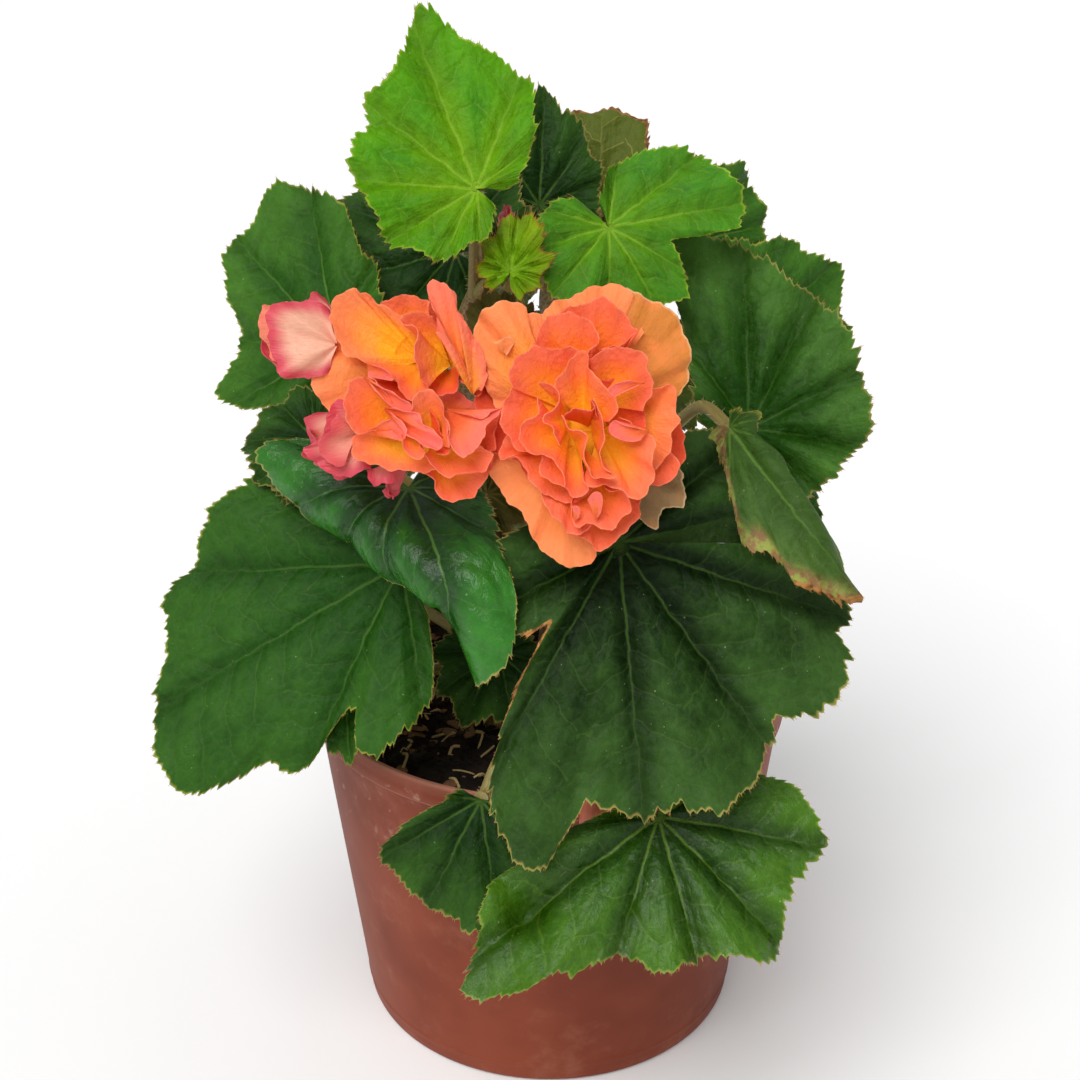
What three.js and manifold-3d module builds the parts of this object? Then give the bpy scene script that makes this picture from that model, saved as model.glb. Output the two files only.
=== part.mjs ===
// A begonia with double orange blooms, growing in a 14 cm nursery pot.
// Millimetres. The origin is at the middle of the pot's underside, +Z is up and +X is to the right
// of someone who stands in front of the plant, at -Y.
import * as THREE from 'three';
import { mergeVertices } from 'three/addons/utils/BufferGeometryUtils.js';
import Module from 'manifold-3d';

const wasm = await Module();
wasm.setup();

// Driving dimensions. Angles are in degrees.
const POT_RIM_RADIUS = 70;
const POT_HEIGHT = 105;
const POT_BASE_RADIUS = 57.5;
const POT_WALL = 1.6;
const POT_SEGMENTS = 36;
const BASE_EDGE = 2;
const RIM_EDGE = 0.5;
const RIM_BAND_HEIGHT = 7;
const RIM_BAND_DEPTH = 1.2;
const FLOOR_THICKNESS = 2.4;
const FLOOR_GROOVE = { inner: 18, outer: 46, depth: 1.2 };
const DRAIN_HOLES = { count: 8, radius: 4, ring: 34 };
const RIM_MARK = { angles: [255, 75], depth: 2, width: 3, clear: 0.4 };
const SOIL_TOP = 94;
const SOIL_GAP = 0.3;
const FACET_GAP = 0.25;
const SOIL_RINGS = 4;
const SOIL_SEGMENTS = 24;
const BLADE_THICKNESS = 0.8;
const PETAL_THICKNESS = 0.8;
const SEAT_GAP = 0.3;
const PETIOLE_RADIUS = 1.6;
const PEDUNCLE_RADIUS = 1.4;
const STEM_HOLE_CLEARANCE = 0.4;
const STEM_DEPTH = 14;
const STEM_COLLAR = 4;
const STEM_TIP_LENGTH = 10;
const STALK_RISE = 0.08;
const LEAF_APPROACH = 7;
const FLOWER_APPROACH = 10;
const BLOOM_FOOT = 4;

// Finishes
const COLOURS = {
  pot: 0x8a4432,
  soil: 0x241c17,
  stem: 0x8a6a45,
  leafBright: 0x4f8f1f,
  leafMid: 0x3a6e2c,
  leafDark: 0x234424,
  leafBack: 0x5d6030,
  petal: 0xff7f4c,
  bud: 0xc8405a,
};

// Solids
const plant = new THREE.Group();

function toManifold(geometry) {
  const bare = geometry.clone();
  bare.deleteAttribute('normal');
  bare.deleteAttribute('uv');
  const merged = mergeVertices(bare, 1e-4);
  const mesh = new wasm.Mesh({
    numProp: 3,
    vertProperties: Float32Array.from(merged.attributes.position.array),
    triVerts: Uint32Array.from(merged.index.array),
  });
  return new wasm.Manifold(mesh);
}

function toGeometry(solid) {
  const mesh = solid.getMesh();
  const geometry = new THREE.BufferGeometry();
  geometry.setAttribute('position', new THREE.BufferAttribute(mesh.vertProperties, 3));
  geometry.setIndex(new THREE.BufferAttribute(mesh.triVerts, 1));
  return geometry;
}

function addPiece(name, geometry, colour, roughness) {
  geometry.computeVertexNormals();
  const material = new THREE.MeshStandardMaterial({ color: colour, roughness, metalness: 0 });
  const mesh = new THREE.Mesh(geometry, material);
  mesh.name = name;
  plant.add(mesh);
}

const vector = (list) => new THREE.Vector3(...list);
const degrees = THREE.MathUtils.degToRad;

// A blade is a leaf or a petal. Its outline is a list of [angle in degrees, radius], measured at
// the hub from the direction of the tip, in the plane that the upper side faces out of. Between
// the first and the last angle the blade is open: that is the notch at a leaf's stalk.
function outlineRadius(outline, angle) {
  let k = 0;
  while (k < outline.length - 2 && angle > outline[k + 1][0]) k += 1;
  const slope = (i) => {
    const a = outline[Math.max(i - 1, 0)];
    const b = outline[Math.min(i + 1, outline.length - 1)];
    return (b[1] - a[1]) / (b[0] - a[0]);
  };
  const span = outline[k + 1][0] - outline[k][0];
  const t = (angle - outline[k][0]) / span;
  const [p, q] = [outline[k][1], outline[k + 1][1]];
  const [m, n] = [slope(k) * span, slope(k + 1) * span];
  return p + m * t + (3 * (q - p) - 2 * m - n) * t * t + (m + n - 2 * (q - p)) * t * t * t;
}

// Angles that part the outline into stretches of equal length
function evenAngles(outline, count) {
  const first = outline[0][0];
  const last = outline[outline.length - 1][0];
  const fine = 720;
  const lengths = [0];
  let before = null;
  for (let i = 0; i <= fine; i += 1) {
    const angle = first + ((last - first) * i) / fine;
    const r = outlineRadius(outline, angle);
    const here = [r * Math.cos(degrees(angle)), r * Math.sin(degrees(angle))];
    if (before) lengths.push(lengths[i - 1] + Math.hypot(here[0] - before[0], here[1] - before[1]));
    before = here;
  }
  const angles = [];
  let k = 0;
  for (let i = 0; i <= count; i += 1) {
    const want = (lengths[fine] * i) / count;
    while (k < fine - 1 && lengths[k + 1] < want) k += 1;
    const part = (want - lengths[k]) / (lengths[k + 1] - lengths[k]);
    angles.push(first + ((last - first) * (k + part)) / fine);
  }
  return angles;
}

function bladeFrame(blade) {
  const face = vector(blade.face).normalize();
  const along = vector(blade.tip);
  along.addScaledVector(face, -along.dot(face)).normalize();
  return { along, across: new THREE.Vector3().crossVectors(face, along), face };
}

// Rolls the part of the blade beyond a straight line over a cylinder. A bend is
// [direction in degrees, distance from the hub, radius, turn in degrees], and a negative radius
// rolls towards the upper side.
function bendPoint(point, [direction, start, radius, turn]) {
  const ux = Math.cos(degrees(direction));
  const uy = Math.sin(degrees(direction));
  const beyond = point.x * ux + point.y * uy - start;
  if (beyond <= 0) return;
  const side = Math.sign(radius);
  const size = Math.abs(radius);
  const angle = Math.min(beyond / size, degrees(turn));
  const rest = beyond - angle * size;
  const out = size + point.h * side;
  const moved = out * Math.sin(angle) + rest * Math.cos(angle);
  point.h = side * (out * Math.cos(angle) - size - rest * Math.sin(angle));
  point.x += (moved - beyond) * ux;
  point.y += (moved - beyond) * uy;
}

// A point of the blade at an angle and at a share of the outline's radius, with its height off the
// middle surface
function bladePoint(blade, frame, angle, share, factor, lift) {
  const reach = share * outlineRadius(blade.outline, angle) * factor;
  const size = blade.size;
  const [height, count, phase] = blade.wave ?? [0, 1, 0];
  const point = {
    x: reach * Math.cos(degrees(angle)),
    y: reach * Math.sin(degrees(angle)),
    h: lift + ((blade.cup ?? 0) * reach * reach) / size,
  };
  point.h += height * share * share * Math.sin(degrees(count * angle + phase));
  for (const bend of blade.bends ?? []) bendPoint(point, bend);
  return vector(blade.hub)
    .addScaledVector(frame.along, point.x)
    .addScaledVector(frame.across, point.y)
    .addScaledVector(frame.face, point.h);
}

// A thin closed solid with the same triangles on both sides. steps is the number of edges of its
// outline, and shares are the rings of points from the outline inwards, with as many edges in each
// as halvings gives.
function bladeSolid(blade, thickness) {
  const frame = bladeFrame(blade);
  const steps = blade.steps ?? 32;
  const shares = blade.shares ?? [1, 0.74, 0.42];
  const tooth = blade.tooth ?? 0;
  const angles = evenAngles(blade.outline, steps);
  const rings = shares.map((share, ring) => {
    const every = 2 ** Math.min(ring, blade.halvings ?? 2);
    const picked = angles.filter((_, i) => i % every === 0);
    return picked.map((angle, i) => ({
      angle,
      share,
      factor: ring === 0 ? 1 + (i % 2 ? tooth : -tooth) : 1,
    }));
  });
  const flat = [{ angle: blade.outline[0][0], share: 0, factor: 1 }];
  const starts = rings.map((ring) => {
    const start = flat.length;
    flat.push(...ring);
    return start;
  });
  const faces = [];
  for (let ring = 0; ring + 1 < rings.length; ring += 1) {
    const outer = starts[ring];
    const inner = starts[ring + 1];
    const ratio = (rings[ring].length - 1) / (rings[ring + 1].length - 1);
    for (let i = 0; i + 1 < rings[ring + 1].length; i += 1) {
      const o = outer + i * ratio;
      if (ratio === 2) {
        faces.push([inner + i, o, o + 1], [inner + i, o + 1, inner + i + 1]);
        faces.push([inner + i + 1, o + 1, o + 2]);
      } else {
        faces.push([inner + i, o, o + 1], [inner + i, o + 1, inner + i + 1]);
      }
    }
  }
  const core = starts[starts.length - 1];
  for (let i = 0; i + 1 < rings[rings.length - 1].length; i += 1) {
    faces.push([0, core + i, core + i + 1]);
  }
  const points = [];
  for (const side of [0.5, -0.5]) {
    for (const f of flat) {
      points.push(...bladePoint(blade, frame, f.angle, f.share, f.factor, side * thickness));
    }
  }
  const below = flat.length;
  const indices = [];
  for (const [a, b, c] of faces) {
    indices.push(a, b, c, below + a, below + c, below + b);
  }
  const first = [...starts].reverse();
  const last = starts.map((start, ring) => start + rings[ring].length - 1);
  const border = [0, ...first];
  for (let i = 1; i < rings[0].length; i += 1) border.push(starts[0] + i);
  border.push(...last.slice(1));
  for (let i = 0; i < border.length; i += 1) {
    const a = border[i];
    const b = border[(i + 1) % border.length];
    indices.push(a, below + a, b, b, below + a, below + b);
  }
  const geometry = new THREE.BufferGeometry();
  geometry.setAttribute('position', new THREE.Float32BufferAttribute(points, 3));
  geometry.setIndex(indices);
  return geometry;
}

// A round rod along a smooth curve through points
function rod(points, radius, sides, steps) {
  const curve = new THREE.CatmullRomCurve3(points, false, 'centripetal');
  const section = new THREE.Shape();
  for (let i = 0; i < sides; i += 1) {
    const angle = (2 * Math.PI * i) / sides;
    const [x, y] = [radius * Math.cos(angle), radius * Math.sin(angle)];
    if (i === 0) section.moveTo(x, y);
    else section.lineTo(x, y);
  }
  section.closePath();
  return new THREE.ExtrudeGeometry(section, { steps, bevelEnabled: false, extrudePath: curve });
}

// The leaves. Outlines start and end at the notch.
const PLAIN_OUTLINE = [
  [-165, 0.3], [-145, 0.55], [-118, 0.62], [-104, 0.72], [-88, 0.7], [-68, 0.82], [-52, 0.76],
  [-34, 0.9], [-20, 0.84], [-4, 1], [12, 0.86], [28, 0.86], [44, 0.74], [62, 0.76], [82, 0.64],
  [104, 0.66], [128, 0.5], [150, 0.46], [166, 0.28],
];
const plainOutline = (size, mirrored, width = 1) => {
  const scaled = PLAIN_OUTLINE.map(([angle, radius]) => {
    const x = Math.cos(degrees(angle));
    const y = Math.sin(degrees(angle)) * width;
    const turned = THREE.MathUtils.radToDeg(Math.atan2(y, x));
    return [mirrored ? -turned : turned, radius * size * Math.hypot(x, y)];
  });
  return mirrored ? scaled.reverse() : scaled;
};

const LEAVES = [
  {
    name: 'leaf_top', colour: 'leafBright', hub: [-18, -40, 257], tip: [-0.3, 0.47, 0.83],
    face: [0.05, -0.85, 0.5], size: 42, cup: 0.05, wave: [1.2, 5, 40], steps: 44, tooth: 0.03,
    outline: [
      [-108, 6], [-90, 11], [-74, 15], [-54, 23], [-45, 28], [-36, 31], [-27, 33], [-20, 35],
      [-13, 36], [-6, 42], [0, 46], [5, 42], [13, 36], [20, 34], [33, 34], [42, 30.5], [59, 31],
      [70, 29], [83, 26], [96, 24.5], [104, 25.5], [116, 22], [132, 20], [145, 17.5], [158, 14],
      [175, 12], [192, 8.5], [212, 5],
    ],
  },
  {
    name: 'leaf_top_right', colour: 'leafBright', hub: [14, -32, 246], tip: [0.97, 0.24, 0.05],
    face: [0.15, -0.75, 0.65], size: 34, cup: 0.03, wave: [1, 5, 0], bends: [[-80, 0, 25, 25]],
    steps: 44, tooth: 0.04,
    outline: [
      [-240, 7], [-225, 12], [-205, 16], [-180, 18], [-160, 20], [-138, 23], [-120, 19],
      [-104, 18], [-72, 21], [-47, 25], [-32, 20], [-22, 17.5], [-15, 17.5], [-10, 24],
      [-6, 32], [5, 36], [16, 34], [30, 32], [40, 29], [48, 27], [60, 22], [75, 17], [88, 10],
      [100, 6],
    ],
  },
  {
    name: 'leaf_left_high', colour: 'leafMid', hub: [-57, -12, 210], tip: [-0.66, 0.57, 0.49],
    face: [-0.35, -0.8, 0.45], size: 45, cup: -0.06, wave: [1.2, 6, 0], steps: 44, tooth: 0.03,
    outline: [
      [-150, 8], [-120, 15], [-95, 18], [-75, 22], [-58, 28], [-48, 38], [-34, 45], [-20, 53],
      [-12, 50], [-4, 47], [4, 47], [14, 41], [24, 34], [36, 31], [48, 32], [57, 39], [70, 34],
      [85, 24], [110, 20], [135, 16], [160, 8],
    ],
  },
  {
    name: 'leaf_left_big', colour: 'leafMid', hub: [-38, -52, 164], tip: [-0.84, -0.11, -0.54],
    face: [-0.25, -0.8, 0.55], size: 80, cup: -0.06, wave: [2, 7, 60], steps: 48, tooth: 0.02,
    outline: [
      [-165, 8], [-140, 11], [-110, 17], [-85, 31], [-66, 47], [-52, 54], [-40, 58], [-32, 60],
      [-26, 69], [-18, 68], [-9, 73], [0, 80], [9, 83], [14, 82], [18, 74], [23, 62], [30, 60],
      [34, 52], [36.5, 41.5], [39.5, 39], [43, 41], [46, 46.5], [52, 49], [60, 44], [68, 38],
      [76, 31], [82, 20], [90, 12], [100, 8],
    ],
  },
  {
    name: 'leaf_glossy', colour: 'leafDark', hub: [-35, -60, 188], tip: [0.3, -0.89, -0.35],
    face: [0.05, -0.35, 0.93], size: 45, cup: 0.02, wave: [0.8, 6, 0],
    bends: [[-60, 9, 7, 125], [20, 26, 14, 50]], steps: 44, tooth: 0.03, shares: [1, 0.8, 0.55, 0.3],
    outline: [
      [-150, 16], [-138, 32], [-128, 40], [-118, 36], [-105, 30], [-80, 28], [-55, 27],
      [-30, 32], [-12, 46], [-6, 56], [0, 60], [7, 60], [14, 56], [21, 45], [28, 33], [42, 25],
      [60, 20], [85, 14], [110, 12], [140, 8],
    ],
  },
  {
    name: 'leaf_front_big', colour: 'leafDark', hub: [16, -73.6, 179.2], tip: [0.07, -0.5, -0.86],
    face: [0.05, -0.85, 0.5], size: 75, cup: -0.05, wave: [2, 7, 0], steps: 56, tooth: 0.025,
    outline: [
      [-273, 36], [-255, 32], [-244, 33], [-231, 39], [-216, 32], [-199, 19], [-165, 17],
      [-131, 18], [-105, 23], [-90, 29], [-72, 34], [-56, 36], [-49, 31], [-44, 27], [-40, 40],
      [-36, 53], [-31, 67], [-25, 75], [-20, 80], [-16, 75], [-12, 63], [-5, 63], [1, 65],
      [8, 63], [15, 67], [25, 65], [33, 60], [38, 56], [44, 61], [52, 64], [59, 61], [64, 57],
      [72, 57], [79, 47], [84, 40], [86, 37.5],
    ],
  },
  {
    name: 'leaf_right_big', colour: 'leafDark', hub: [51, -36, 195], tip: [-0.05, 0.57, 0.82],
    face: [-0.15, -0.8, 0.55], size: 45, cup: 0.1, wave: [1.5, 6, 90], steps: 44, tooth: 0.03,
    outline: [
      [-165, 14], [-152, 24], [-140, 23], [-128, 26], [-117, 25], [-105, 29], [-88, 31],
      [-69, 31], [-50, 35], [-35, 37], [-20, 40], [-8, 44], [4, 49], [14, 54], [19, 56],
      [22, 46], [28, 32], [37, 23], [52, 17], [70, 14], [95, 10], [130, 6],
    ],
  },
  {
    name: 'leaf_low_front', colour: 'leafBright', hub: [26, -92, 114], tip: [0.25, -0.72, -0.64],
    face: [0.05, -0.65, 0.75], size: 42, cup: -0.12, wave: [1.6, 6, 30], steps: 44, tooth: 0.03,
    outline: [
      [-120, 6], [-104, 14], [-94, 25], [-87, 33], [-84, 42], [-80, 46], [-76, 49], [-72, 51],
      [-67, 57], [-63.5, 62], [-60, 60], [-52, 51], [-48, 44], [-43, 42], [-36, 36], [-26, 34],
      [-14, 37], [-4, 35], [6, 35], [16, 39], [26, 43], [36, 39], [48, 36], [58, 38], [68, 42],
      [76, 40], [90, 35], [102, 29], [125, 18], [160, 8],
    ],
  },
  {
    name: 'leaf_back_top', colour: 'leafDark', hub: [-3, 30, 239], tip: [0, 0.3, 0.95],
    face: [0.15, -0.9, 0.35], size: 32, cup: -0.05, wave: [1, 5, 20], steps: 28, tooth: 0.05,
    outline: plainOutline(34, false, 0.7),
  },
  {
    name: 'leaf_back_curled', colour: 'leafBack', hub: [14, 42, 234], tip: [0.08, 0.25, 0.95],
    face: [0.1, 0.9, -0.35], reach: 4, size: 36, cup: 0.03, wave: [1, 5, 90],
    bends: [[0, 28, -6, 50]], steps: 28, tooth: 0.03,
    outline: [
      [-150, 8], [-110, 12], [-80, 14], [-55, 18], [-38, 24], [-25, 30], [-12, 33], [0, 34],
      [10, 33], [18, 32], [24, 30], [32, 24], [45, 19], [65, 15], [90, 12], [120, 9], [155, 7],
    ],
  },
  {
    name: 'leaf_young', colour: 'leafBright', hub: [-10, -45, 238], tip: [0.2, 0.45, 0.85],
    face: [0, -0.8, 0.6], size: 14, cup: 0.1, wave: [0.6, 9, 0], steps: 28, tooth: 0.12,
    shares: [1, 0.5], outline: plainOutline(15, false, 0.75),
  },
  {
    name: 'leaf_back_left', colour: 'leafDark', hub: [-26, 8, 231], tip: [-0.9, 0.3, 0.25],
    face: [-0.1, -0.8, 0.6], size: 38, cup: -0.05, wave: [1.2, 5, 0], steps: 28, tooth: 0.04,
    outline: plainOutline(38, false),
  },
  {
    name: 'leaf_left_small', colour: 'leafDark', hub: [-61, -31, 190], tip: [-0.96, 0.2, 0],
    face: [-0.2, -0.7, 0.6], size: 22, cup: -0.15, wave: [0.8, 5, 0], steps: 24, tooth: 0.05,
    shares: [1, 0.5], outline: plainOutline(22, true),
  },
  {
    name: 'leaf_left_under', colour: 'leafMid', hub: [-53, -58, 129], tip: [0.05, -0.45, -0.9],
    face: [-0.2, -0.85, 0.5], size: 20, cup: -0.1, wave: [0.6, 5, 0], steps: 20, tooth: 0.05,
    shares: [1, 0.5], outline: plainOutline(18, false, 0.6),
  },
  {
    name: 'leaf_curled', colour: 'leafMid', hub: [42, -67, 206], tip: [0.55, -0.56, -0.64],
    face: [-0.3, -0.75, 0.55], reach: 3.8, size: 40, wave: [1, 6, 0],
    bends: [[86, 2.4, 2.2, 130]],
    steps: 32, tooth: 0.03,
    outline: [
      [-146, 3.6], [-100, 4.5], [-70, 5], [-50, 7], [-40, 10], [-35, 15], [-30, 21], [-27, 29],
      [-23, 31], [-18, 31], [-14, 36], [-12, 42], [-8, 44], [-3, 50], [0, 52], [3, 49], [7, 40],
      [12, 31], [19, 21], [31, 12], [45, 8], [90, 5], [140, 4],
    ],
  },
  {
    name: 'leaf_back_right_high', colour: 'leafMid', hub: [43, 25, 230], tip: [0.6, 0.3, 0.75],
    face: [0.3, -0.85, 0.4], size: 28, cup: -0.1, wave: [1, 5, 0], steps: 28, tooth: 0.04,
    outline: plainOutline(27, true),
  },
  {
    name: 'leaf_back_right', colour: 'leafMid', hub: [56, 14, 204], tip: [0.75, 0.4, 0.5],
    face: [0.3, -0.85, 0.35], size: 36, cup: -0.08, wave: [1.2, 5, 60], steps: 28, tooth: 0.04,
    outline: plainOutline(38, false),
  },
  {
    name: 'leaf_over_pot', colour: 'leafDark', hub: [-18, -76, 109], tip: [-0.43, -0.33, -0.84],
    face: [-0.1, -0.9, 0.4], size: 30, cup: -0.05, wave: [1, 6, 0], steps: 32, tooth: 0.04,
    outline: [
      [-95, 6], [-60, 10], [-44, 22], [-38, 28], [-28, 30], [-14, 30], [0, 31], [12, 31],
      [22, 34], [34, 31], [46, 33], [56, 34], [68, 28], [85, 18], [110, 8],
    ],
  },
  {
    name: 'leaf_inner_low', colour: 'leafDark', hub: [-14, -34, 129], tip: [-0.4, -0.6, -0.7],
    face: [0, -0.7, 0.7], size: 22, cup: -0.1, wave: [0.8, 5, 0], steps: 24, tooth: 0.05,
    shares: [1, 0.5], outline: plainOutline(22, false),
  },
  {
    name: 'leaf_inner_small', colour: 'leafBack', hub: [-16, -54, 184], tip: [0.3, -0.6, -0.7],
    face: [0, -0.7, 0.7], size: 12, cup: 0.1, wave: [0.5, 5, 0], steps: 20, tooth: 0.08,
    shares: [1, 0.5], outline: plainOutline(13, true),
  },
  {
    name: 'leaf_right_fragment', colour: 'leafMid', hub: [64, -18, 170], tip: [0.6, -0.1, -0.8],
    face: [0.5, -0.8, 0.3], size: 15, cup: -0.1, wave: [0.5, 5, 0], steps: 20, tooth: 0.06,
    shares: [1, 0.5], outline: plainOutline(16, false),
  },
  {
    name: 'leaf_inner_high', colour: 'leafBack', hub: [-12, -34, 218], tip: [-0.4, 0.3, 0.8],
    face: [-0.1, -0.85, 0.5], size: 15, cup: 0.1, wave: [0.5, 5, 0], steps: 20, tooth: 0.06,
    shares: [1, 0.5], outline: plainOutline(13, false),
  },
];

// Leaves on the far side, by a rule: [azimuth round the pot, distance, height, size, lean]
const FAR_LEAVES = [
  [25, 62, 150, 40, 35], [62, 50, 195, 42, 30], [95, 66, 150, 46, 30], [118, 46, 215, 38, 45],
  [140, 64, 172, 44, 30], [172, 66, 132, 42, 25], [75, 70, 118, 36, 20], [-6, 54, 148, 32, 30],
  [186, 56, 166, 32, 35],
];
FAR_LEAVES.forEach(([azimuth, distance, height, size, lean], i) => {
  const [x, y] = [Math.cos(degrees(azimuth)), Math.sin(degrees(azimuth))];
  LEAVES.push({
    name: `leaf_far_${i + 1}`,
    colour: 'leafMid',
    hub: [distance * x, distance * y, height],
    tip: [0.6 * x, 0.6 * y, -0.8],
    face: [Math.cos(degrees(lean)) * x, Math.cos(degrees(lean)) * y, Math.sin(degrees(lean))],
    size,
    cup: -0.08,
    wave: [1.4, 6, 50 * i],
    steps: 20,
    shares: [1, 0.6, 0.3],
    tooth: 0.05,
    outline: plainOutline(size, i % 2 === 1),
  });
});

LEAVES.forEach((leaf) => {
  addPiece(leaf.name, bladeSolid(leaf, BLADE_THICKNESS), COLOURS[leaf.colour], 0.5);
});

// The blooms. Each has its own axes: u to the right, v up and w out of the bloom's face. A petal
// is [base u, v, w, tip u, v, w, half width, cup].
const BLOOMS = [
  {
    name: 'bloom_right', centre: [7, -86, 212], axis: [-0.03, -0.94, 0.33], core: [6.5, 4, 12],
    petals: [
      [1, 4, -1, 1, 31.5, -1, 13, 0.2], [2.7, 1.3, -2, 17, 28.5, -3, 15, 0.2],
      [-4, 2, -1, -19, 28.5, -3, 12, 0.2], [-3, 0, -2, -22, 9, -3, 8, 0.2],
      [-2.6, -1.5, -3, -2, -31, -4, 8.5, 0.25], [-2.9, -0.7, -3, -17, -15, -4, 10, 0.3],
      [2.7, -1.3, -3, 19, -18.5, -5, 7, 0.2], [3, 0, -2, 23, -6, -3, 8, 0.2],
      [1.1, 4.5, 2, 4, 29, 3, 9, 0.3], [-0.6, 4.6, 4, -4, 25.5, 7, 7, 0.2],
      [3.3, 3.3, 4, 10, 18.5, 7, 8.5, 0.3], [-2.8, 3.7, 4, -11, 18.5, 7, 8.5, 0.3],
      [-4, 1, 3, -18, 2, 6, 8.5, 0.35], [4.1, 2.1, 2, 20.5, 4, 5, 9.5, 0.25],
      [4.4, -1.3, 1, 21, -8, 3, 6.5, 0.3], [3, 0, 4, 12, -14, 9, 8.5, 0.25],
      [-3, -3, 2, -15, -10, 3, 7.5, 0.3], [-2, -4, 4, -6, -15.5, 7, 8, 0.3],
      [-1.5, -4.4, 2, -6, -21.5, 4, 7.5, 0.3], [0.8, -4.5, 0, 6, -26, 1, 9, 0.25],
      [1.5, -4.4, 3, 7, -20.5, 6, 7, 0.3], [0, 1, 4, -1, 17, 11, 6.5, 0.4],
      [-3, 0, 4, -13.5, -1, 10, 6.5, 0.35], [0, -3, 4, 2, -12, 12, 6, 0.4],
      [-2, 1, 4, -7.5, 10, 14, 4.5, 0.5], [1, -2, 4, 5, -3, 15, 5, 0.5],
    ],
  },
  {
    name: 'bloom_left_upper', centre: [-31, -72, 225], axis: [0.05, -0.94, 0.34], core: [5.5, 3.5, 7],
    petals: [
      [-2, -2, -2, -24, -3, -1, 13, 0.2], [1, 1, 1, -15.5, 13.5, 4, 12.5, 0.25],
      [0, 1, -1, -3, 14, -1, 9, 0.2], [2.8, -2.2, 0, 6, 16, 4, 6.5, 0.4],
      [3.4, -1.3, 0, -1, 6, 6, 7, 0.45], [2, -3, 1, 6.5, -3, 4, 4.5, 0.4],
      [1.6, -3.2, 1, -3, -11, 4, 5, 0.3], [1.6, -3.2, -1, 15, -12, -2, 3.4, 0.2],
    ],
  },
  {
    name: 'bloom_left_lower', centre: [-29, -84, 211], axis: [0.05, -0.94, 0.34], core: [5, 3, 9],
    petals: [
      [-2.7, 1.8, 2, -14.5, 8.5, 6, 8, 0.35], [-3, -1, 2, -14.5, -4, 4, 8, 0.3],
      [-1, -3, 0, -8, -9, 1, 7, 0.3], [0.8, -3.1, -1, 7, -16, 0, 9.5, 0.2],
      [2, -2, 2, 8, -10, 4, 8, 0.2], [3.2, 0, 1, 15, -3, 0, 6, 0.2],
      [-1, 1, 1, -9, 14, 2, 6, 0.3], [0.6, -3.1, 3, 1.5, 9, 9, 4.5, 0.5],
      [2.8, 1.5, 3, 9, -6, 9, 7, 0.3], [-2.6, 1.8, 3, 4.5, -4.5, 9, 3, 0.1],
      [-3.2, 0, 3, -6, 3.5, 8, 3.5, 0.5],
    ],
  },
];

// A petal's outline as a fan about its base, as shares of its spread and of its length. It is
// widest at 0.72 of its length.
const PETAL_SHAPE = [
  [-1, 0.62], [-0.8, 0.8], [-0.45, 0.93], [0, 1], [0.45, 0.93], [0.8, 0.8], [1, 0.62],
];
const petalOutline = (length, half) => {
  const sine = Math.min(0.97, half / (0.72 * length));
  const spread = THREE.MathUtils.radToDeg(Math.asin(sine));
  return PETAL_SHAPE.map(([f, r]) => [f * spread, r * length]);
};

function bloomFrame(bloom) {
  const w = vector(bloom.axis).normalize();
  const u = new THREE.Vector3(0, 0, 1).cross(w).normalize();
  return { u, v: new THREE.Vector3().crossVectors(w, u), w };
}

function bloomPoint(bloom, frame, [a, b, c]) {
  return vector(bloom.centre)
    .addScaledVector(frame.u, a)
    .addScaledVector(frame.v, b)
    .addScaledVector(frame.w, c);
}

// A round body along the w axis, which petals stand on or wrap
function bodyGeometry(flower, frame, profile) {
  const points = profile.map(([r, h]) => new THREE.Vector2(r, h));
  const body = new THREE.LatheGeometry(points, 8);
  const turn = new THREE.Matrix4().makeBasis(frame.v, frame.w, frame.u);
  return body.applyMatrix4(turn.setPosition(vector(flower.centre)));
}

// Buds of wrapped petals, on the same axes as a bloom. The body is
// [[radius, height], ...] along the axis, and the petals that wrap it are
// { count, length, half width, distance from the axis, open angle }.
const BUDS = [
  {
    name: 'bud_left', centre: [-50, -64, 226], axis: [-0.99, -0.05, 0.03],
    body: [[0, -3], [3, -3], [5.5, 2], [6.2, 8], [4.5, 12.5], [0, 13.5]],
    wrapped: { count: 3, length: 19, half: 9.5, from: 5, open: 17 },
  },
  {
    name: 'bud_crimson', centre: [-44, -68, 210], axis: [-0.7, -0.45, -0.55],
    body: [[0, -3], [2, -3], [3.4, 1], [3, 7], [0, 9]],
    wrapped: { count: 3, length: 17, half: 8.5, from: 3, open: 30 },
  },
  {
    name: 'bud_small', centre: [-36, -76, 198], axis: [-0.3, -0.7, -0.6],
    body: [[0, -2.5], [1.4, -2.5], [2, 0], [1.6, 4], [0, 5]],
    wrapped: { count: 2, length: 7, half: 2.4, from: 1.2, open: 16 },
  },
  {
    name: 'bud_top', centre: [-11, -28, 245], axis: [0, -0.4, 0.9],
    body: [[0, -2.5], [1.4, -2.5], [2.4, 1], [2, 4], [0, 5.2]],
    wrapped: { count: 2, length: 7, half: 2.6, from: 1.4, open: 12 },
  },
  {
    name: 'bud_low', centre: [11, -84, 113], axis: [0, -0.25, -0.96],
    body: [[0, -3], [2, -3], [3.8, 1], [4, 6], [0, 9]],
    wrapped: { count: 3, length: 12.5, half: 5, from: 2.4, open: 14 },
  },
];

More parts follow.
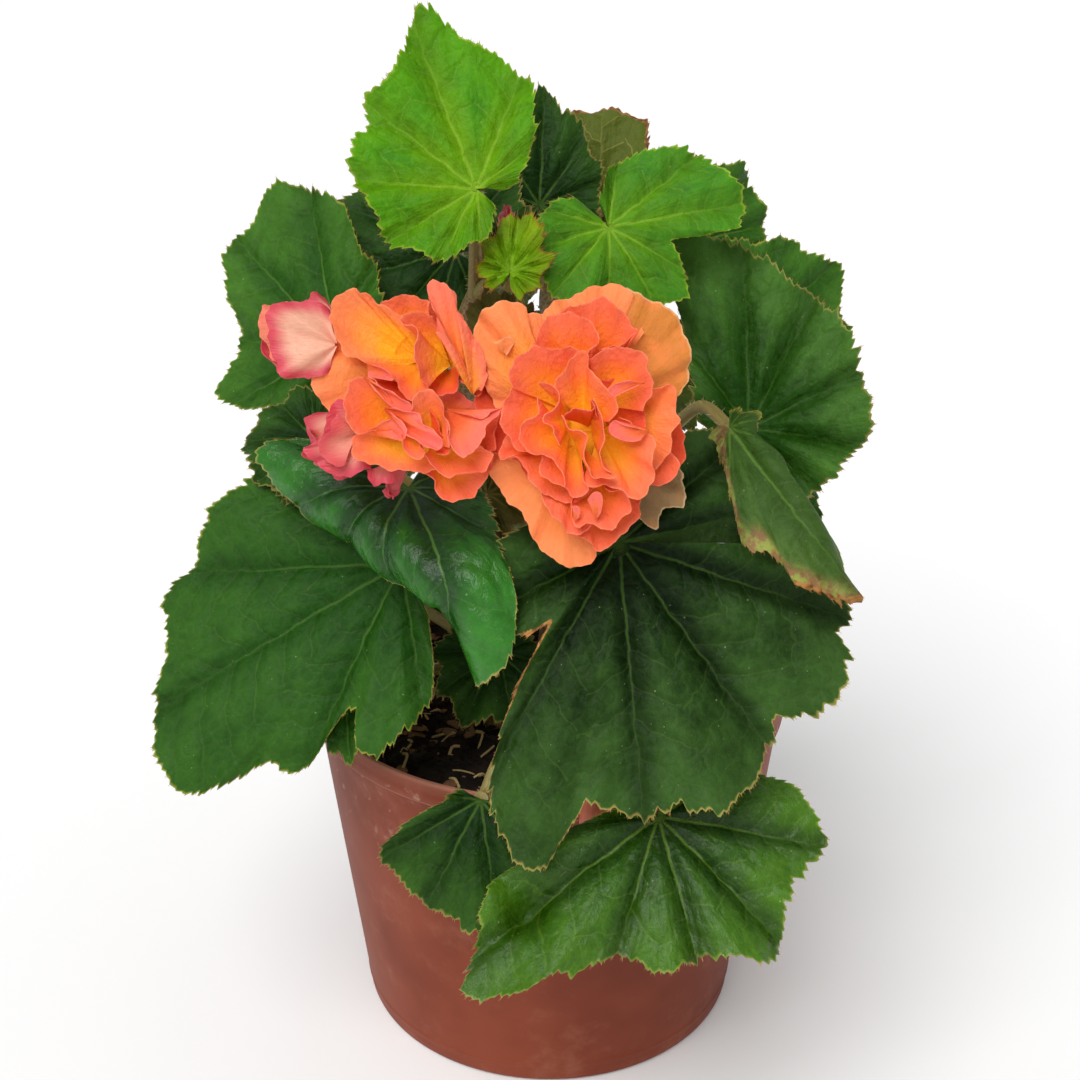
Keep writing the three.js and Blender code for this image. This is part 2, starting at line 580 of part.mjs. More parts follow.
function bloomPetal(bloom, frame, [bu, bv, bw, tu, tv, tw, half, cup], index) {
  const base = bloomPoint(bloom, frame, [bu, bv, bw]);
  const tip = bloomPoint(bloom, frame, [tu, tv, tw]).sub(base);
  const length = tip.length();
  const petal = {
    hub: base.toArray(),
    tip: tip.toArray(),
    face: frame.w.toArray(),
    size: length,
    cup,
    wave: [length > 20 ? 0.8 : 0.3, 5, 70 * index],
    steps: length > 20 ? 8 : 4,
    shares: length > 20 ? [1, 0.55] : [1],
    halvings: 1,
    outline: petalOutline(length, half),
    bends: [[0, length * 0.7, 12, 35]],
  };
  return bladeSolid(petal, PETAL_THICKNESS);
}

// The petals of a bud stand round its axis, each with its inner side to the axis
function budPetal(bud, frame, wrapped, index) {
  const around = (2 * Math.PI * index) / wrapped.count + 0.4;
  const out = frame.u.clone().multiplyScalar(Math.cos(around));
  out.addScaledVector(frame.v, Math.sin(around));
  const open = degrees(wrapped.open);
  const tip = frame.w.clone().multiplyScalar(Math.cos(open)).addScaledVector(out, Math.sin(open));
  const petal = {
    hub: vector(bud.centre).addScaledVector(out, wrapped.from * 0.7).toArray(),
    tip: tip.toArray(),
    face: out.clone().negate().toArray(),
    size: wrapped.length,
    cup: 0.15,
    steps: 5,
    shares: [1],
    outline: petalOutline(wrapped.length, wrapped.half),
    bends: [[0, wrapped.length * 0.6, -wrapped.length * 0.7, 50]],
  };
  return bladeSolid(petal, PETAL_THICKNESS);
}

BLOOMS.forEach((bloom) => {
  const frame = bloomFrame(bloom);
  const [back, front, reach] = bloom.core;
  const core = [
    [0, -BLOOM_FOOT], [back * 0.5, -BLOOM_FOOT], [back, -1], [back * 0.9, 3],
    [front, reach - 2], [0, reach + 1],
  ];
  let solid = toManifold(bodyGeometry(bloom, frame, core));
  bloom.petals.forEach((petal, i) => {
    solid = solid.add(toManifold(bloomPetal(bloom, frame, petal, i)));
  });
  addPiece(bloom.name, toGeometry(solid), COLOURS.petal, 0.55);
});

BUDS.forEach((bud) => {
  const frame = bloomFrame(bud);
  let solid = toManifold(bodyGeometry(bud, frame, bud.body));
  for (let i = 0; i < bud.wrapped.count; i += 1) {
    solid = solid.add(toManifold(budPetal(bud, frame, bud.wrapped, i)));
  }
  addPiece(bud.name, toGeometry(solid), COLOURS.bud, 0.55);
});

// The pot: a tapered shell with a rim band, drain holes and a flat ring and middle to stand on
function potGeometry() {
  const bandFoot = POT_HEIGHT - RIM_BAND_HEIGHT;
  const wallTop = POT_RIM_RADIUS - RIM_BAND_DEPTH;
  const { inner, outer, depth } = FLOOR_GROOVE;
  const profile = [
    [0, 0], [inner, 0], [inner + depth, depth], [outer - depth, depth], [outer, 0],
    [POT_BASE_RADIUS - BASE_EDGE, 0], [POT_BASE_RADIUS, BASE_EDGE], [wallTop, bandFoot],
    [POT_RIM_RADIUS, bandFoot], [POT_RIM_RADIUS, POT_HEIGHT - RIM_EDGE],
    [POT_RIM_RADIUS - RIM_EDGE, POT_HEIGHT], [wallTop - RIM_EDGE, POT_HEIGHT],
    [wallTop - POT_WALL, bandFoot], [POT_BASE_RADIUS - POT_WALL, FLOOR_THICKNESS],
    [0, FLOOR_THICKNESS],
  ];
  const points = profile.map(([r, h]) => new THREE.Vector2(r, h));
  const shell = new THREE.LatheGeometry(points, POT_SEGMENTS);
  let solid = toManifold(shell.rotateX(Math.PI / 2));
  for (let i = 0; i < DRAIN_HOLES.count; i += 1) {
    const angle = (2 * Math.PI * (i + 0.5)) / DRAIN_HOLES.count;
    const hole = new THREE.CylinderGeometry(DRAIN_HOLES.radius, DRAIN_HOLES.radius, 10, 10);
    hole.rotateX(Math.PI / 2);
    hole.translate(DRAIN_HOLES.ring * Math.cos(angle), DRAIN_HOLES.ring * Math.sin(angle), 0);
    solid = solid.subtract(toManifold(hole));
  }
  for (const angle of RIM_MARK.angles) {
    const mark = new THREE.BoxGeometry(RIM_MARK.depth, RIM_MARK.width, RIM_BAND_HEIGHT * 2);
    mark.translate(POT_RIM_RADIUS + RIM_MARK.clear, 0, POT_HEIGHT);
    mark.rotateZ(degrees(angle));
    solid = solid.subtract(toManifold(mark));
  }
  return toGeometry(solid);
}
addPiece('pot', potGeometry(), COLOURS.pot, 0.75);

// Stems stand upright in the soil and then spread. Each carries the stalks of its own leaves and
// flowers: [what it carries, height on the stem, points on the way].
const STEMS = [
  {
    name: 'stem_left', radius: 4.2, foot: [-16, -10],
    route: [[-18, -12, 118], [-24, -16, 160], [-24, -14, 200], [-19, -10, 228]],
    stalks: [
      ['leaf_top', 222], ['leaf_left_high', 180], ['leaf_back_left', 196],
      ['leaf_left_small', 160], ['leaf_left_big', 138], ['leaf_glossy', 166],
      ['leaf_young', 224], ['leaf_inner_high', 208], ['leaf_left_under', 112],
      ['leaf_inner_small', 152], ['leaf_far_6', 118], ['leaf_far_9', 146], ['bloom_left_upper', 206],
      ['bloom_left_lower', 196], ['bud_left', 204], ['bud_crimson', 196], ['bud_small', 190],
      ['bud_top', 226],
    ],
  },
  {
    name: 'stem_right', radius: 4.2, foot: [18, -8],
    route: [[20, -10, 120], [25, -8, 160], [24, -4, 205], [18, -2, 232]],
    stalks: [
      ['leaf_top_right', 226], ['leaf_front_big', 148], ['leaf_right_big', 172],
      ['leaf_curled', 186, [31, -22, 190], [38, -48, 205]], ['leaf_right_fragment', 150],
      ['leaf_back_right_high', 208], ['leaf_back_right', 188], ['leaf_far_1', 130],
      ['leaf_far_8', 126], ['bloom_right', 200],
    ],
  },
  {
    name: 'stem_back', radius: 4, foot: [0, 20],
    route: [[2, 24, 120], [4, 28, 165], [2, 24, 200], [-1, 21, 222]],
    stalks: [
      ['leaf_back_top', 214], ['leaf_back_curled', 206], ['leaf_far_2', 172],
      ['leaf_far_3', 130], ['leaf_far_4', 190], ['leaf_far_5', 150], ['leaf_far_7', 108],
    ],
  },
  {
    name: 'stem_front', radius: 3.4, foot: [4, -34],
    route: [[5, -37, 112], [6, -40, 126]],
    stalks: [
      ['leaf_low_front', 118, [20, -68, 115]], ['leaf_over_pot', 112, [-13, -62, 113]],
      ['leaf_inner_low', 106], ['bud_low', 122],
    ],
  },
];

function stemCurve(stem) {
  const foot = new THREE.Vector3(...stem.foot, SOIL_TOP - STEM_DEPTH);
  const collar = new THREE.Vector3(...stem.foot, SOIL_TOP + STEM_COLLAR);
  const points = [foot, collar, ...stem.route.map(vector)];
  return new THREE.CatmullRomCurve3(points, false, 'centripetal');
}

// The point of a stem at a height
function stemPoint(stem, height) {
  const points = stemCurve(stem).getSpacedPoints(100);
  const off = (point) => Math.abs(point.z - height);
  return points.reduce((best, point) => (off(point) < off(best) ? point : best));
}

// A stalk ends square to the back of its leaf at the hub, or to the back of its flower
function stalkEnd(name) {
  const leaf = LEAVES.find((item) => item.name === name);
  if (leaf) {
    return {
      point: vector(leaf.hub),
      back: vector(leaf.face).normalize().negate(),
      seat: BLADE_THICKNESS / 2 + SEAT_GAP,
      reach: leaf.reach ?? LEAF_APPROACH,
    };
  }
  const flower = [...BLOOMS, ...BUDS].find((item) => item.name === name);
  const back = vector(flower.axis).normalize().negate();
  const foot = flower.body ? -flower.body[0][1] : BLOOM_FOOT;
  return { point: vector(flower.centre), back, seat: foot + SEAT_GAP, reach: FLOWER_APPROACH };
}

function stalkGeometry(stem, [name, height, ...way]) {
  const start = stemPoint(stem, height);
  const { point, back, seat, reach } = stalkEnd(name);
  const near = point.clone().addScaledVector(back, seat + reach);
  const end = point.clone().addScaledVector(back, seat);
  const middle = start.clone().lerp(near, 0.5);
  middle.z += STALK_RISE * start.distanceTo(near);
  const between = way.length ? way.map(vector) : [middle];
  const radius = name.startsWith('leaf') ? PETIOLE_RADIUS : PEDUNCLE_RADIUS;
  return rod([start, ...between, near, end], radius, 5, way.length ? 6 : 4);
}

// The pointed growing tip that closes a stem
function stemTip(stem) {
  const curve = stemCurve(stem);
  const direction = curve.getTangent(1);
  const tip = new THREE.ConeGeometry(stem.radius, STEM_TIP_LENGTH, 8);
  tip.translate(0, STEM_TIP_LENGTH / 2 - 1, 0);
  const up = new THREE.Vector3(0, 1, 0);
  tip.applyQuaternion(new THREE.Quaternion().setFromUnitVectors(up, direction));
  return tip.translate(...curve.getPoint(1));
}

STEMS.forEach((stem) => {
  const trunk = rod(stemCurve(stem).getSpacedPoints(12), stem.radius, 8, 8);
  let solid = toManifold(trunk).add(toManifold(stemTip(stem)));
  stem.stalks.forEach((stalk) => {
    solid = solid.add(toManifold(stalkGeometry(stem, stalk)));
  });
  addPiece(stem.name, toGeometry(solid), COLOURS.stem, 0.6);
});

// How far the top of the soil rises or sinks at a point
const soilBump = (x, y) => (
  1.3 * Math.sin(0.23 * x + 1) * Math.cos(0.31 * y) + 0.8 * Math.sin(0.5 * y)
);

// The soil fills the pot, with an uneven top and a plain hole for each stem
function soilGeometry() {
  const wallRise = POT_HEIGHT - RIM_BAND_HEIGHT - BASE_EDGE;
  const slope = (POT_RIM_RADIUS - RIM_BAND_DEPTH - POT_BASE_RADIUS) / wallRise;
  const clear = POT_WALL + SOIL_GAP + FACET_GAP;
  const radiusAt = (z) => POT_BASE_RADIUS + (z - BASE_EDGE) * slope - clear;
  const low = FLOOR_THICKNESS + SOIL_GAP;
  const topRadius = radiusAt(SOIL_TOP);
  const profile = [[0, low], [radiusAt(low), low], [topRadius, SOIL_TOP]];
  for (let i = SOIL_RINGS - 1; i >= 0; i -= 1) {
    profile.push([(topRadius * i) / SOIL_RINGS, SOIL_TOP]);
  }
  const points = profile.map(([r, h]) => new THREE.Vector2(r, h));
  const heap = new THREE.LatheGeometry(points, SOIL_SEGMENTS);
  heap.rotateX(Math.PI / 2);
  const position = heap.attributes.position;
  for (let i = 0; i < position.count; i += 1) {
    const [x, y, z] = [position.getX(i), position.getY(i), position.getZ(i)];
    const inside = z > SOIL_TOP - 1 && Math.hypot(x, y) < topRadius - 1;
    if (inside) position.setZ(i, z + soilBump(x, y));
  }
  let solid = toManifold(heap);
  STEMS.forEach((stem) => {
    const radius = stem.radius + STEM_HOLE_CLEARANCE;
    const hole = new THREE.CylinderGeometry(radius, radius, STEM_DEPTH * 2, 12);
    hole.rotateX(Math.PI / 2);
    hole.translate(...stem.foot, SOIL_TOP - SEAT_GAP);
    solid = solid.subtract(toManifold(hole));
  });
  return toGeometry(solid);
}
addPiece('soil', soilGeometry(), COLOURS.soil, 1);

export default plant;
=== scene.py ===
"""The looks of a begonia with double orange blooms in a nursery pot.

Lengths here are in millimetres and angles in degrees, as in the part's own source, unless a
comment says metres. They become metres when a mesh is made. Colours are sRGB, 0 to 255.
"""
import itertools
import math

import bpy
import numpy as np
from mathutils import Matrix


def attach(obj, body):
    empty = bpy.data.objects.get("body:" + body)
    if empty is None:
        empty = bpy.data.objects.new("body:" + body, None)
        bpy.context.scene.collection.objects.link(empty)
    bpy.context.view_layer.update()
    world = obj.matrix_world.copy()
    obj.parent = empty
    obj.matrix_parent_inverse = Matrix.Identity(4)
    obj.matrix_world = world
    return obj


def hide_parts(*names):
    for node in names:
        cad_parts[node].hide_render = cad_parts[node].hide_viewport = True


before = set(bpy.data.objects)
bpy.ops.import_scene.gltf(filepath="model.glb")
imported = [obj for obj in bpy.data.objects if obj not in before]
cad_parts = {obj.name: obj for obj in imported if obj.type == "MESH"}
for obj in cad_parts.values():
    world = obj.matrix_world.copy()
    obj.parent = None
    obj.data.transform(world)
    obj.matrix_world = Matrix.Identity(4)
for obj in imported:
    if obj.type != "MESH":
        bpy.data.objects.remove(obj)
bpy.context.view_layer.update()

MM = 0.001
OUTLINE_STEPS = 1441
CURVE_STEPS = 40


def unit(vector):
    vector = np.asarray(vector, float)
    return vector / np.linalg.norm(vector)


def units(vectors):
    """Every row of an array at length 1."""
    return vectors / np.linalg.norm(vectors, axis=-1)[..., None]


def polar(radius, angle):
    """The x and y of points at a radius and an angle."""
    return radius * np.cos(np.radians(angle)), radius * np.sin(np.radians(angle))


def turns(count):
    """Equal steps of one full turn, in radians."""
    return 2 * np.pi * np.arange(count) / count


def smooth_step(low, high, value):
    share = np.clip((np.asarray(value, float) - low) / (high - low), 0, 1)
    return share * share * (3 - 2 * share)


def linear(colour):
    """An sRGB colour as the linear RGBA that Blender's sockets take."""
    shares = [c / 255 for c in colour]
    rgb = [s / 12.92 if s <= 0.04045 else ((s + 0.055) / 1.055) ** 2.4 for s in shares]
    return (*rgb, 1.0)


# Meshes
def make_object(name, points, faces, material, flat=None, values=None, sharp=50):
    """A smooth mesh from points in millimetres. flat is a UV map, values are named numbers at the
    points, and edges sharper than sharp stay hard."""
    mesh = bpy.data.meshes.new(name)
    mesh.from_pydata((np.asarray(points) * MM).tolist(), [], [tuple(f) for f in faces])
    mesh.shade_smooth()
    mesh.set_sharp_from_angle(angle=math.radians(sharp))
    if flat is not None:
        corners = np.empty(len(mesh.loops), np.int32)
        mesh.loops.foreach_get("vertex_index", corners)
        layer = mesh.uv_layers.new(name="flat")
        layer.data.foreach_set("uv", np.asarray(flat, np.float32)[corners].ravel())
    for key, numbers in (values or {}).items():
        attribute = mesh.attributes.new(key, "FLOAT", "POINT")
        attribute.data.foreach_set("value", np.asarray(numbers, np.float32))
    mesh.materials.append(material)
    thing = bpy.data.objects.new(name, mesh)
    bpy.context.scene.collection.objects.link(thing)
    return thing


def dress(thing, node):
    """Puts a fine piece in the place of a CAD node."""
    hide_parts(node)
    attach(thing, "root")


class Pile:
    """Several meshes gathered into one."""

    def __init__(self):
        self.points = []
        self.faces = []
        self.flat = []
        self.values = {}
        self.count = 0

    def add(self, points, faces, flat, values):
        self.faces.extend([tuple(i + self.count for i in face) for face in faces])
        self.points.append(np.asarray(points, float))
        self.flat.append(np.asarray(flat, float))
        for key, numbers in values.items():
            self.values.setdefault(key, []).append(np.broadcast_to(numbers, len(points)))
        self.count += len(points)

    def make(self, name, material, sharp=50):
        values = {key: np.concatenate(parts) for key, parts in self.values.items()}
        points = np.concatenate(self.points)
        flat = np.concatenate(self.flat)
        return make_object(name, points, self.faces, material, flat, values, sharp)


# Blades of leaves and of wrapped petals, by the formula in the part's source, on a finer grid
def outline_radius(outline, angle):
    """The outline's radius at angles, on a smooth curve through its points."""
    knots = np.array(outline, float)
    angles, radii = knots[:, 0], knots[:, 1]
    before = np.maximum(np.arange(len(knots)) - 1, 0)
    after = np.minimum(np.arange(len(knots)) + 1, len(knots) - 1)
    slope = (radii[after] - radii[before]) / (angles[after] - angles[before])
    k = np.clip(np.searchsorted(angles, angle) - 1, 0, len(knots) - 2)
    span = angles[k + 1] - angles[k]
    t = (angle - angles[k]) / span
    p, q = radii[k], radii[k + 1]
    m, n = slope[k] * span, slope[k + 1] * span
    return p + m * t + (3 * (q - p) - 2 * m - n) * t**2 + (m + n - 2 * (q - p)) * t**3


def outline_run(outline):
    """Close angles along an outline, and how far along it each of them lies."""
    fine = np.linspace(outline[0][0], outline[-1][0], OUTLINE_STEPS)
    x, y = polar(outline_radius(outline, fine), fine)
    return fine, np.concatenate([[0], np.cumsum(np.hypot(np.diff(x), np.diff(y)))])


def even_angles(outline, count):
    """Angles that part the outline into stretches of equal length."""
    fine, run = outline_run(outline)
    return np.interp(np.linspace(0, run[-1], count + 1), run, fine)


def bend_points(x, y, h, bend):
    """Rolls what lies beyond a straight line over a cylinder."""
    direction, start, radius, turn = bend
    ux, uy = math.cos(math.radians(direction)), math.sin(math.radians(direction))
    side, size = math.copysign(1, radius), abs(radius)
    beyond = x * ux + y * uy - start
    past = beyond > 0
    angle = np.minimum(beyond / size, math.radians(turn))
    rest = beyond - angle * size
    out = size + h * side
    moved = out * np.sin(angle) + rest * np.cos(angle)
    height = side * (out * np.cos(angle) - size - rest * np.sin(angle))
    x = np.where(past, x + (moved - beyond) * ux, x)
    y = np.where(past, y + (moved - beyond) * uy, y)
    return x, y, np.where(past, height, h)


def blade_points(blade, angle, share, lift, factor=1.0):
    """Places points of a blade. lift is their height off the blade's middle surface."""
    face = unit(blade["face"])
    tip = np.asarray(blade["tip"], float)
    along = unit(tip - face * tip.dot(face))
    across = np.cross(face, along)
    reach = share * outline_radius(blade["outline"], angle) * factor
    height, count, phase = blade.get("wave", [0, 1, 0])
    x, y = polar(reach, angle)
    h = lift + blade.get("cup", 0) * reach**2 / blade["size"]
    h = h + height * share**2 * np.sin(np.radians(count * angle + phase))
    for bend in blade.get("bends", []):
        x, y, h = bend_points(x, y, h, bend)
    hub = np.asarray(blade["hub"], float)
    return hub + np.outer(x, along) + np.outer(y, across) + np.outer(h, face)


def fan(columns, rings):
    """The points and faces of a fan: its hub, then its rings of points from the outside in. A ring
    is (share of the radius, how many columns from one point to the next)."""
    column, share, starts, counts = [0], [0.0], [], []
    for value, every in rings:
        picks = range(0, columns + 1, every)
        starts.append(len(column))
        counts.append(len(picks))
        column.extend(picks)
        share.extend([value] * len(picks))
    faces = []
    for ring in range(len(rings) - 1):
        outer, inner = starts[ring], starts[ring + 1]
        ratio = rings[ring + 1][1] // rings[ring][1]
        for i in range(counts[ring + 1] - 1):
            o = outer + i * ratio
            if ratio == 1:
                faces.append((inner + i, o, o + 1, inner + i + 1))
            else:
                faces.append((inner + i, o, o + 1))
                faces.append((inner + i, o + 1, inner + i + 1))
                faces.append((inner + i + 1, o + 1, o + 2))
    core = starts[-1]
    faces += [(0, core + i, core + i + 1) for i in range(counts[-1] - 1)]
    last = [start + count - 1 for start, count in zip(starts, counts)]
    border = [0, *starts[::-1], *range(starts[0] + 1, starts[0] + counts[0]), *last[1:]]
    return np.array(column), np.array(share), faces, border


def thicken(faces, border, count):
    """The faces of both sides of a blade with count points a side, and of its rim."""
    below = [tuple(count + i for i in reversed(face)) for face in faces]
    pairs = zip(border, border[1:] + border[:1])
    return faces + below + [(a, count + a, count + b, b) for a, b in pairs]


# Curves, tubes and hairs
def smooth_curve(points, count):
    """Points at equal distances on a centripetal curve through points."""
    points = np.asarray(points, float)
    ends = [2 * points[0] - points[1], 2 * points[-1] - points[-2]]
    padded = np.vstack([ends[0], points, ends[1]])
    path = []
    for i in range(len(points) - 1):
        p = padded[i:i + 4]
        d = [max(np.linalg.norm(p[j + 1] - p[j]) ** 0.5, 1e-4) for j in range(3)]
        t1 = (p[1] - p[0]) / d[0] - (p[2] - p[0]) / (d[0] + d[1]) + (p[2] - p[1]) / d[1]
        t2 = (p[2] - p[1]) / d[1] - (p[3] - p[1]) / (d[1] + d[2]) + (p[3] - p[2]) / d[2]
        t1, t2 = t1 * d[1], t2 * d[1]
        for t in np.linspace(0, 1, CURVE_STEPS, endpoint=i == len(points) - 2):
            cubic = 2 * p[1] - 2 * p[2] + t1 + t2
            square = -3 * p[1] + 3 * p[2] - 2 * t1 - t2
            path.append(p[1] + t1 * t + square * t * t + cubic * t**3)
    path = np.array(path)
    length = np.concatenate([[0], np.cumsum(np.linalg.norm(np.diff(path, axis=0), axis=1))])
    wanted = np.linspace(0, length[-1], count)
    return np.stack([np.interp(wanted, length, path[:, k]) for k in range(3)], axis=1)


def tube_faces(rings, sides):
    """The faces of a tube of rings, and of its two flat ends."""
    faces = []
    for i in range(rings - 1):
        for k in range(sides):
            a, b = i * sides + k, i * sides + (k + 1) % sides
            faces.append((a, b, b + sides, a + sides))
    top = (rings - 1) * sides
    return faces + [tuple(range(sides))[::-1], tuple(range(top, top + sides))]


def rod(path, radii, sides):
    """A round rod with closed ends: its points, faces, and (distance round, distance along)."""
    tangent = units(np.gradient(path, axis=0))
    side = unit(np.cross(tangent[0], [0.3, 0.9, 0.2]))
    turn = turns(sides)
    points, flat, gone = [], [], 0.0
    for i, centre in enumerate(path):
        side = unit(side - tangent[i] * side.dot(tangent[i]))
        other = np.cross(tangent[i], side)
        gone += np.linalg.norm(centre - path[i - 1]) if i else 0
        ring = centre + radii[i] * (np.outer(np.cos(turn), side) + np.outer(np.sin(turn), other))
        points.append(ring)
        flat.append(np.stack([turn * radii[i], np.full(sides, gone)], axis=1))
    return np.concatenate(points), tube_faces(len(path), sides), np.concatenate(flat)


def hair_faces(count):
    """The faces of hairs, each with three points at its root and then one at its tip."""
    sides = [(0, 1, 3), (1, 2, 3), (2, 0, 3), (0, 2, 1)]
    return [tuple(4 * hair + k for k in side) for hair in range(count) for side in sides]


def hairs(roots, outward, lengths, radius):
    """Thin pointed hairs: their points and faces."""
    points = []
    for root, out, length in zip(roots, outward, lengths):
        side = unit(np.cross(out, [0.21, 0.35, 0.9]))
        other = np.cross(out, side)
        for turn in (0, 2.1, 4.2):
            points.append(root + radius * (math.cos(turn) * side + math.sin(turn) * other))
        points.append(root + length * np.asarray(out))
    return np.array(points), hair_faces(len(roots))


# Materials
class Graph:
    """The shader nodes of one material, joined by plain calls. Inputs are sockets or constants."""

    def __init__(self, name):
        self.material = bpy.data.materials.new(name)
        self.material.use_nodes = True
        self.tree = self.material.node_tree
        self.shader = self.tree.nodes["Principled BSDF"]

    def put(self, socket, value):
        if isinstance(value, bpy.types.NodeSocket):
            self.tree.links.new(value, socket)
        else:
            socket.default_value = value

    def node(self, kind, inputs, output=0, **settings):
        node = self.tree.nodes.new(kind)
        for key, value in settings.items():
            setattr(node, key, value)
        for key, value in inputs.items():
            self.put(node.inputs[key], value)
        return node.outputs[output]

    def math(self, operation, a, b=0.0, c=0.0):
        return self.node("ShaderNodeMath", {0: a, 1: b, 2: c}, operation=operation)

    def add(self, a, b):
        return self.math("ADD", a, b)

    def times(self, a, b):
        return self.math("MULTIPLY", a, b)

    def times_add(self, a, b, c):
        return self.math("MULTIPLY_ADD", a, b, c)

    def step(self, value, low, high, first=0.0, last=1.0):
        """Goes smoothly from first to last as value goes from low to high."""
        inputs = {0: value, 1: low, 2: high, 3: first, 4: last}
        return self.node("ShaderNodeMapRange", inputs, interpolation_type="SMOOTHSTEP")

    def mix(self, share, a, b):
        a, b = [linear(c) if isinstance(c, tuple) else c for c in (a, b)]
        return self.node("ShaderNodeMix", {0: share, 6: a, 7: b}, 2, data_type="RGBA")

    def mix_number(self, share, a, b):
        return self.node("ShaderNodeMix", {0: share, 2: a, 3: b}, data_type="FLOAT")

    def shade(self, colour, share):
        """Colour times a number."""
        inputs = {0: colour, 3: share}
        return self.node("ShaderNodeVectorMath", inputs, operation="SCALE")

    def value(self, name):
        return self.node("ShaderNodeAttribute", {}, 2, attribute_name=name)

    def flat(self):
        """The place on the piece when it is laid flat, in millimetres."""
        return self.node("ShaderNodeUVMap", {}, uv_map="flat")

    def place(self):
        """The place on the object, in metres."""
        return self.node("ShaderNodeTexCoord", {}, "Object")

    def stretch(self, vector, scale):
        inputs = {0: vector, 1: scale}
        return self.node("ShaderNodeVectorMath", inputs, operation="MULTIPLY")

    def noise(self, vector, scale, detail=2.0, roughness=0.5):
        inputs = {"Vector": vector, "Scale": scale, "Detail": detail, "Roughness": roughness}
        return self.node("ShaderNodeTexNoise", inputs)

    def cells(self, vector, scale):
        """The distance to the nearest edge of a net of cells."""
        inputs = {"Vector": vector, "Scale": scale}
        return self.node("ShaderNodeTexVoronoi", inputs, feature="DISTANCE_TO_EDGE")

    def fold(self, value):
        """The distance of a number to the nearest whole number."""
        return self.math("PINGPONG", value, 0.5)

    def relief(self, height, strength=1.0):
        """A normal from a height in millimetres."""
        inputs = {"Strength": strength, "Distance": MM, "Height": height}
        return self.node("ShaderNodeBump", inputs)

    def finish(self, colour, roughness, normal=None, **constants):
        self.put(self.shader.inputs["Base Color"], colour)
        self.put(self.shader.inputs["Roughness"], roughness)
        if normal is not None:
            self.put(self.shader.inputs["Normal"], normal)
        for key, value in constants.items():
            self.shader.inputs[key.replace("_", " ")].default_value = value
        return self.material


# In the looks, near and deep are partly the leaf's own greens and partly painted shade
LEAF_LOOKS = {
    "leafBright": {
        "base": (74, 134, 4), "deep": (44, 108, 8), "vein": (164, 200, 58), "near": (104, 156, 4),
        "edge": (150, 170, 50), "under": (104, 140, 44), "gloss": 0.44, "shine": 0.12, "bold": 0.36,
    },
    "leafMid": {
        "base": (56, 98, 26), "deep": (28, 66, 10), "vein": (104, 144, 56), "near": (32, 80, 8),
        "edge": (150, 150, 60), "under": (98, 118, 50), "gloss": 0.42, "shine": 0.1,
    },
    "leafDark": {
        "base": (46, 80, 22), "deep": (18, 48, 6), "vein": (84, 120, 44), "near": (14, 44, 4),
        "edge": (148, 134, 70), "under": (92, 104, 48), "gloss": 0.4, "shine": 0.1,
    },
    "leafBack": {
        "base": (96, 96, 34), "deep": (72, 62, 22), "vein": (150, 142, 70), "near": (80, 84, 22),
        "edge": (122, 78, 44), "under": (96, 92, 34), "gloss": 0.6, "shine": 0.2,
    },
}
DRY_COLOUR = (156, 112, 62)
DRY_DARK = (104, 66, 38)
BLUSH_YELLOW = (138, 144, 70)
BLUSH_RED = (136, 98, 68)
SPECK_COLOUR = (170, 190, 140)
HAIR_COLOUR = (170, 126, 72)
RIB_PITCH = 8.5


def vein_lines(g, vein, span, share, radius, drift):
    """The distance to the nearest main vein and the main veins as lines, and the same for the
    side veins, which leave the main ones forwards, on each side in turn."""
    off = g.times(g.fold(vein), span)
    half = g.times_add(share, -0.26, 0.38)
    main = g.step(g.math("DIVIDE", off, half), 0.4, 1.6, 1.0, 0.0)
    main = g.times(main, g.step(share, 0.15, 0.95, 1.0, 0.3))
    turn = g.times(g.math("ROUND", vein), 0.37)
    turn = g.add(turn, g.times(g.math("GREATER_THAN", g.math("FRACT", vein), 0.5), 0.5))
    rise = g.math("SUBTRACT", radius, g.times(g.math("POWER", off, 0.86), 1.05))
    step = g.add(g.add(g.math("DIVIDE", rise, RIB_PITCH), turn), g.times(drift, 0.8))
    side_off = g.times(g.math("SUBTRACT", 0.5, g.fold(step)), RIB_PITCH)
    side_line = g.step(side_off, 0.08, 0.34, 1.0, 0.0)
    shown = g.times(g.step(share, 0.15, 0.4), g.step(share, 0.7, 1, 1, 0.3))
    return off, main, side_off, g.times(side_line, shown)


def leaf_height(g, flat, off, side_off, pucker, uneven):
    """Veins lie in valleys, on a grainy skin that is puckered and uneven."""
    height = g.times(g.step(off, 0.0, 3.2), 0.5)
    height = g.add(height, g.times(g.step(side_off, 0.0, 2.8), 0.42))
    height = g.add(height, pucker)
    height = g.add(height, uneven)
    return g.add(height, g.times(g.noise(flat, 2.6, 3.0, 0.6), 0.16))


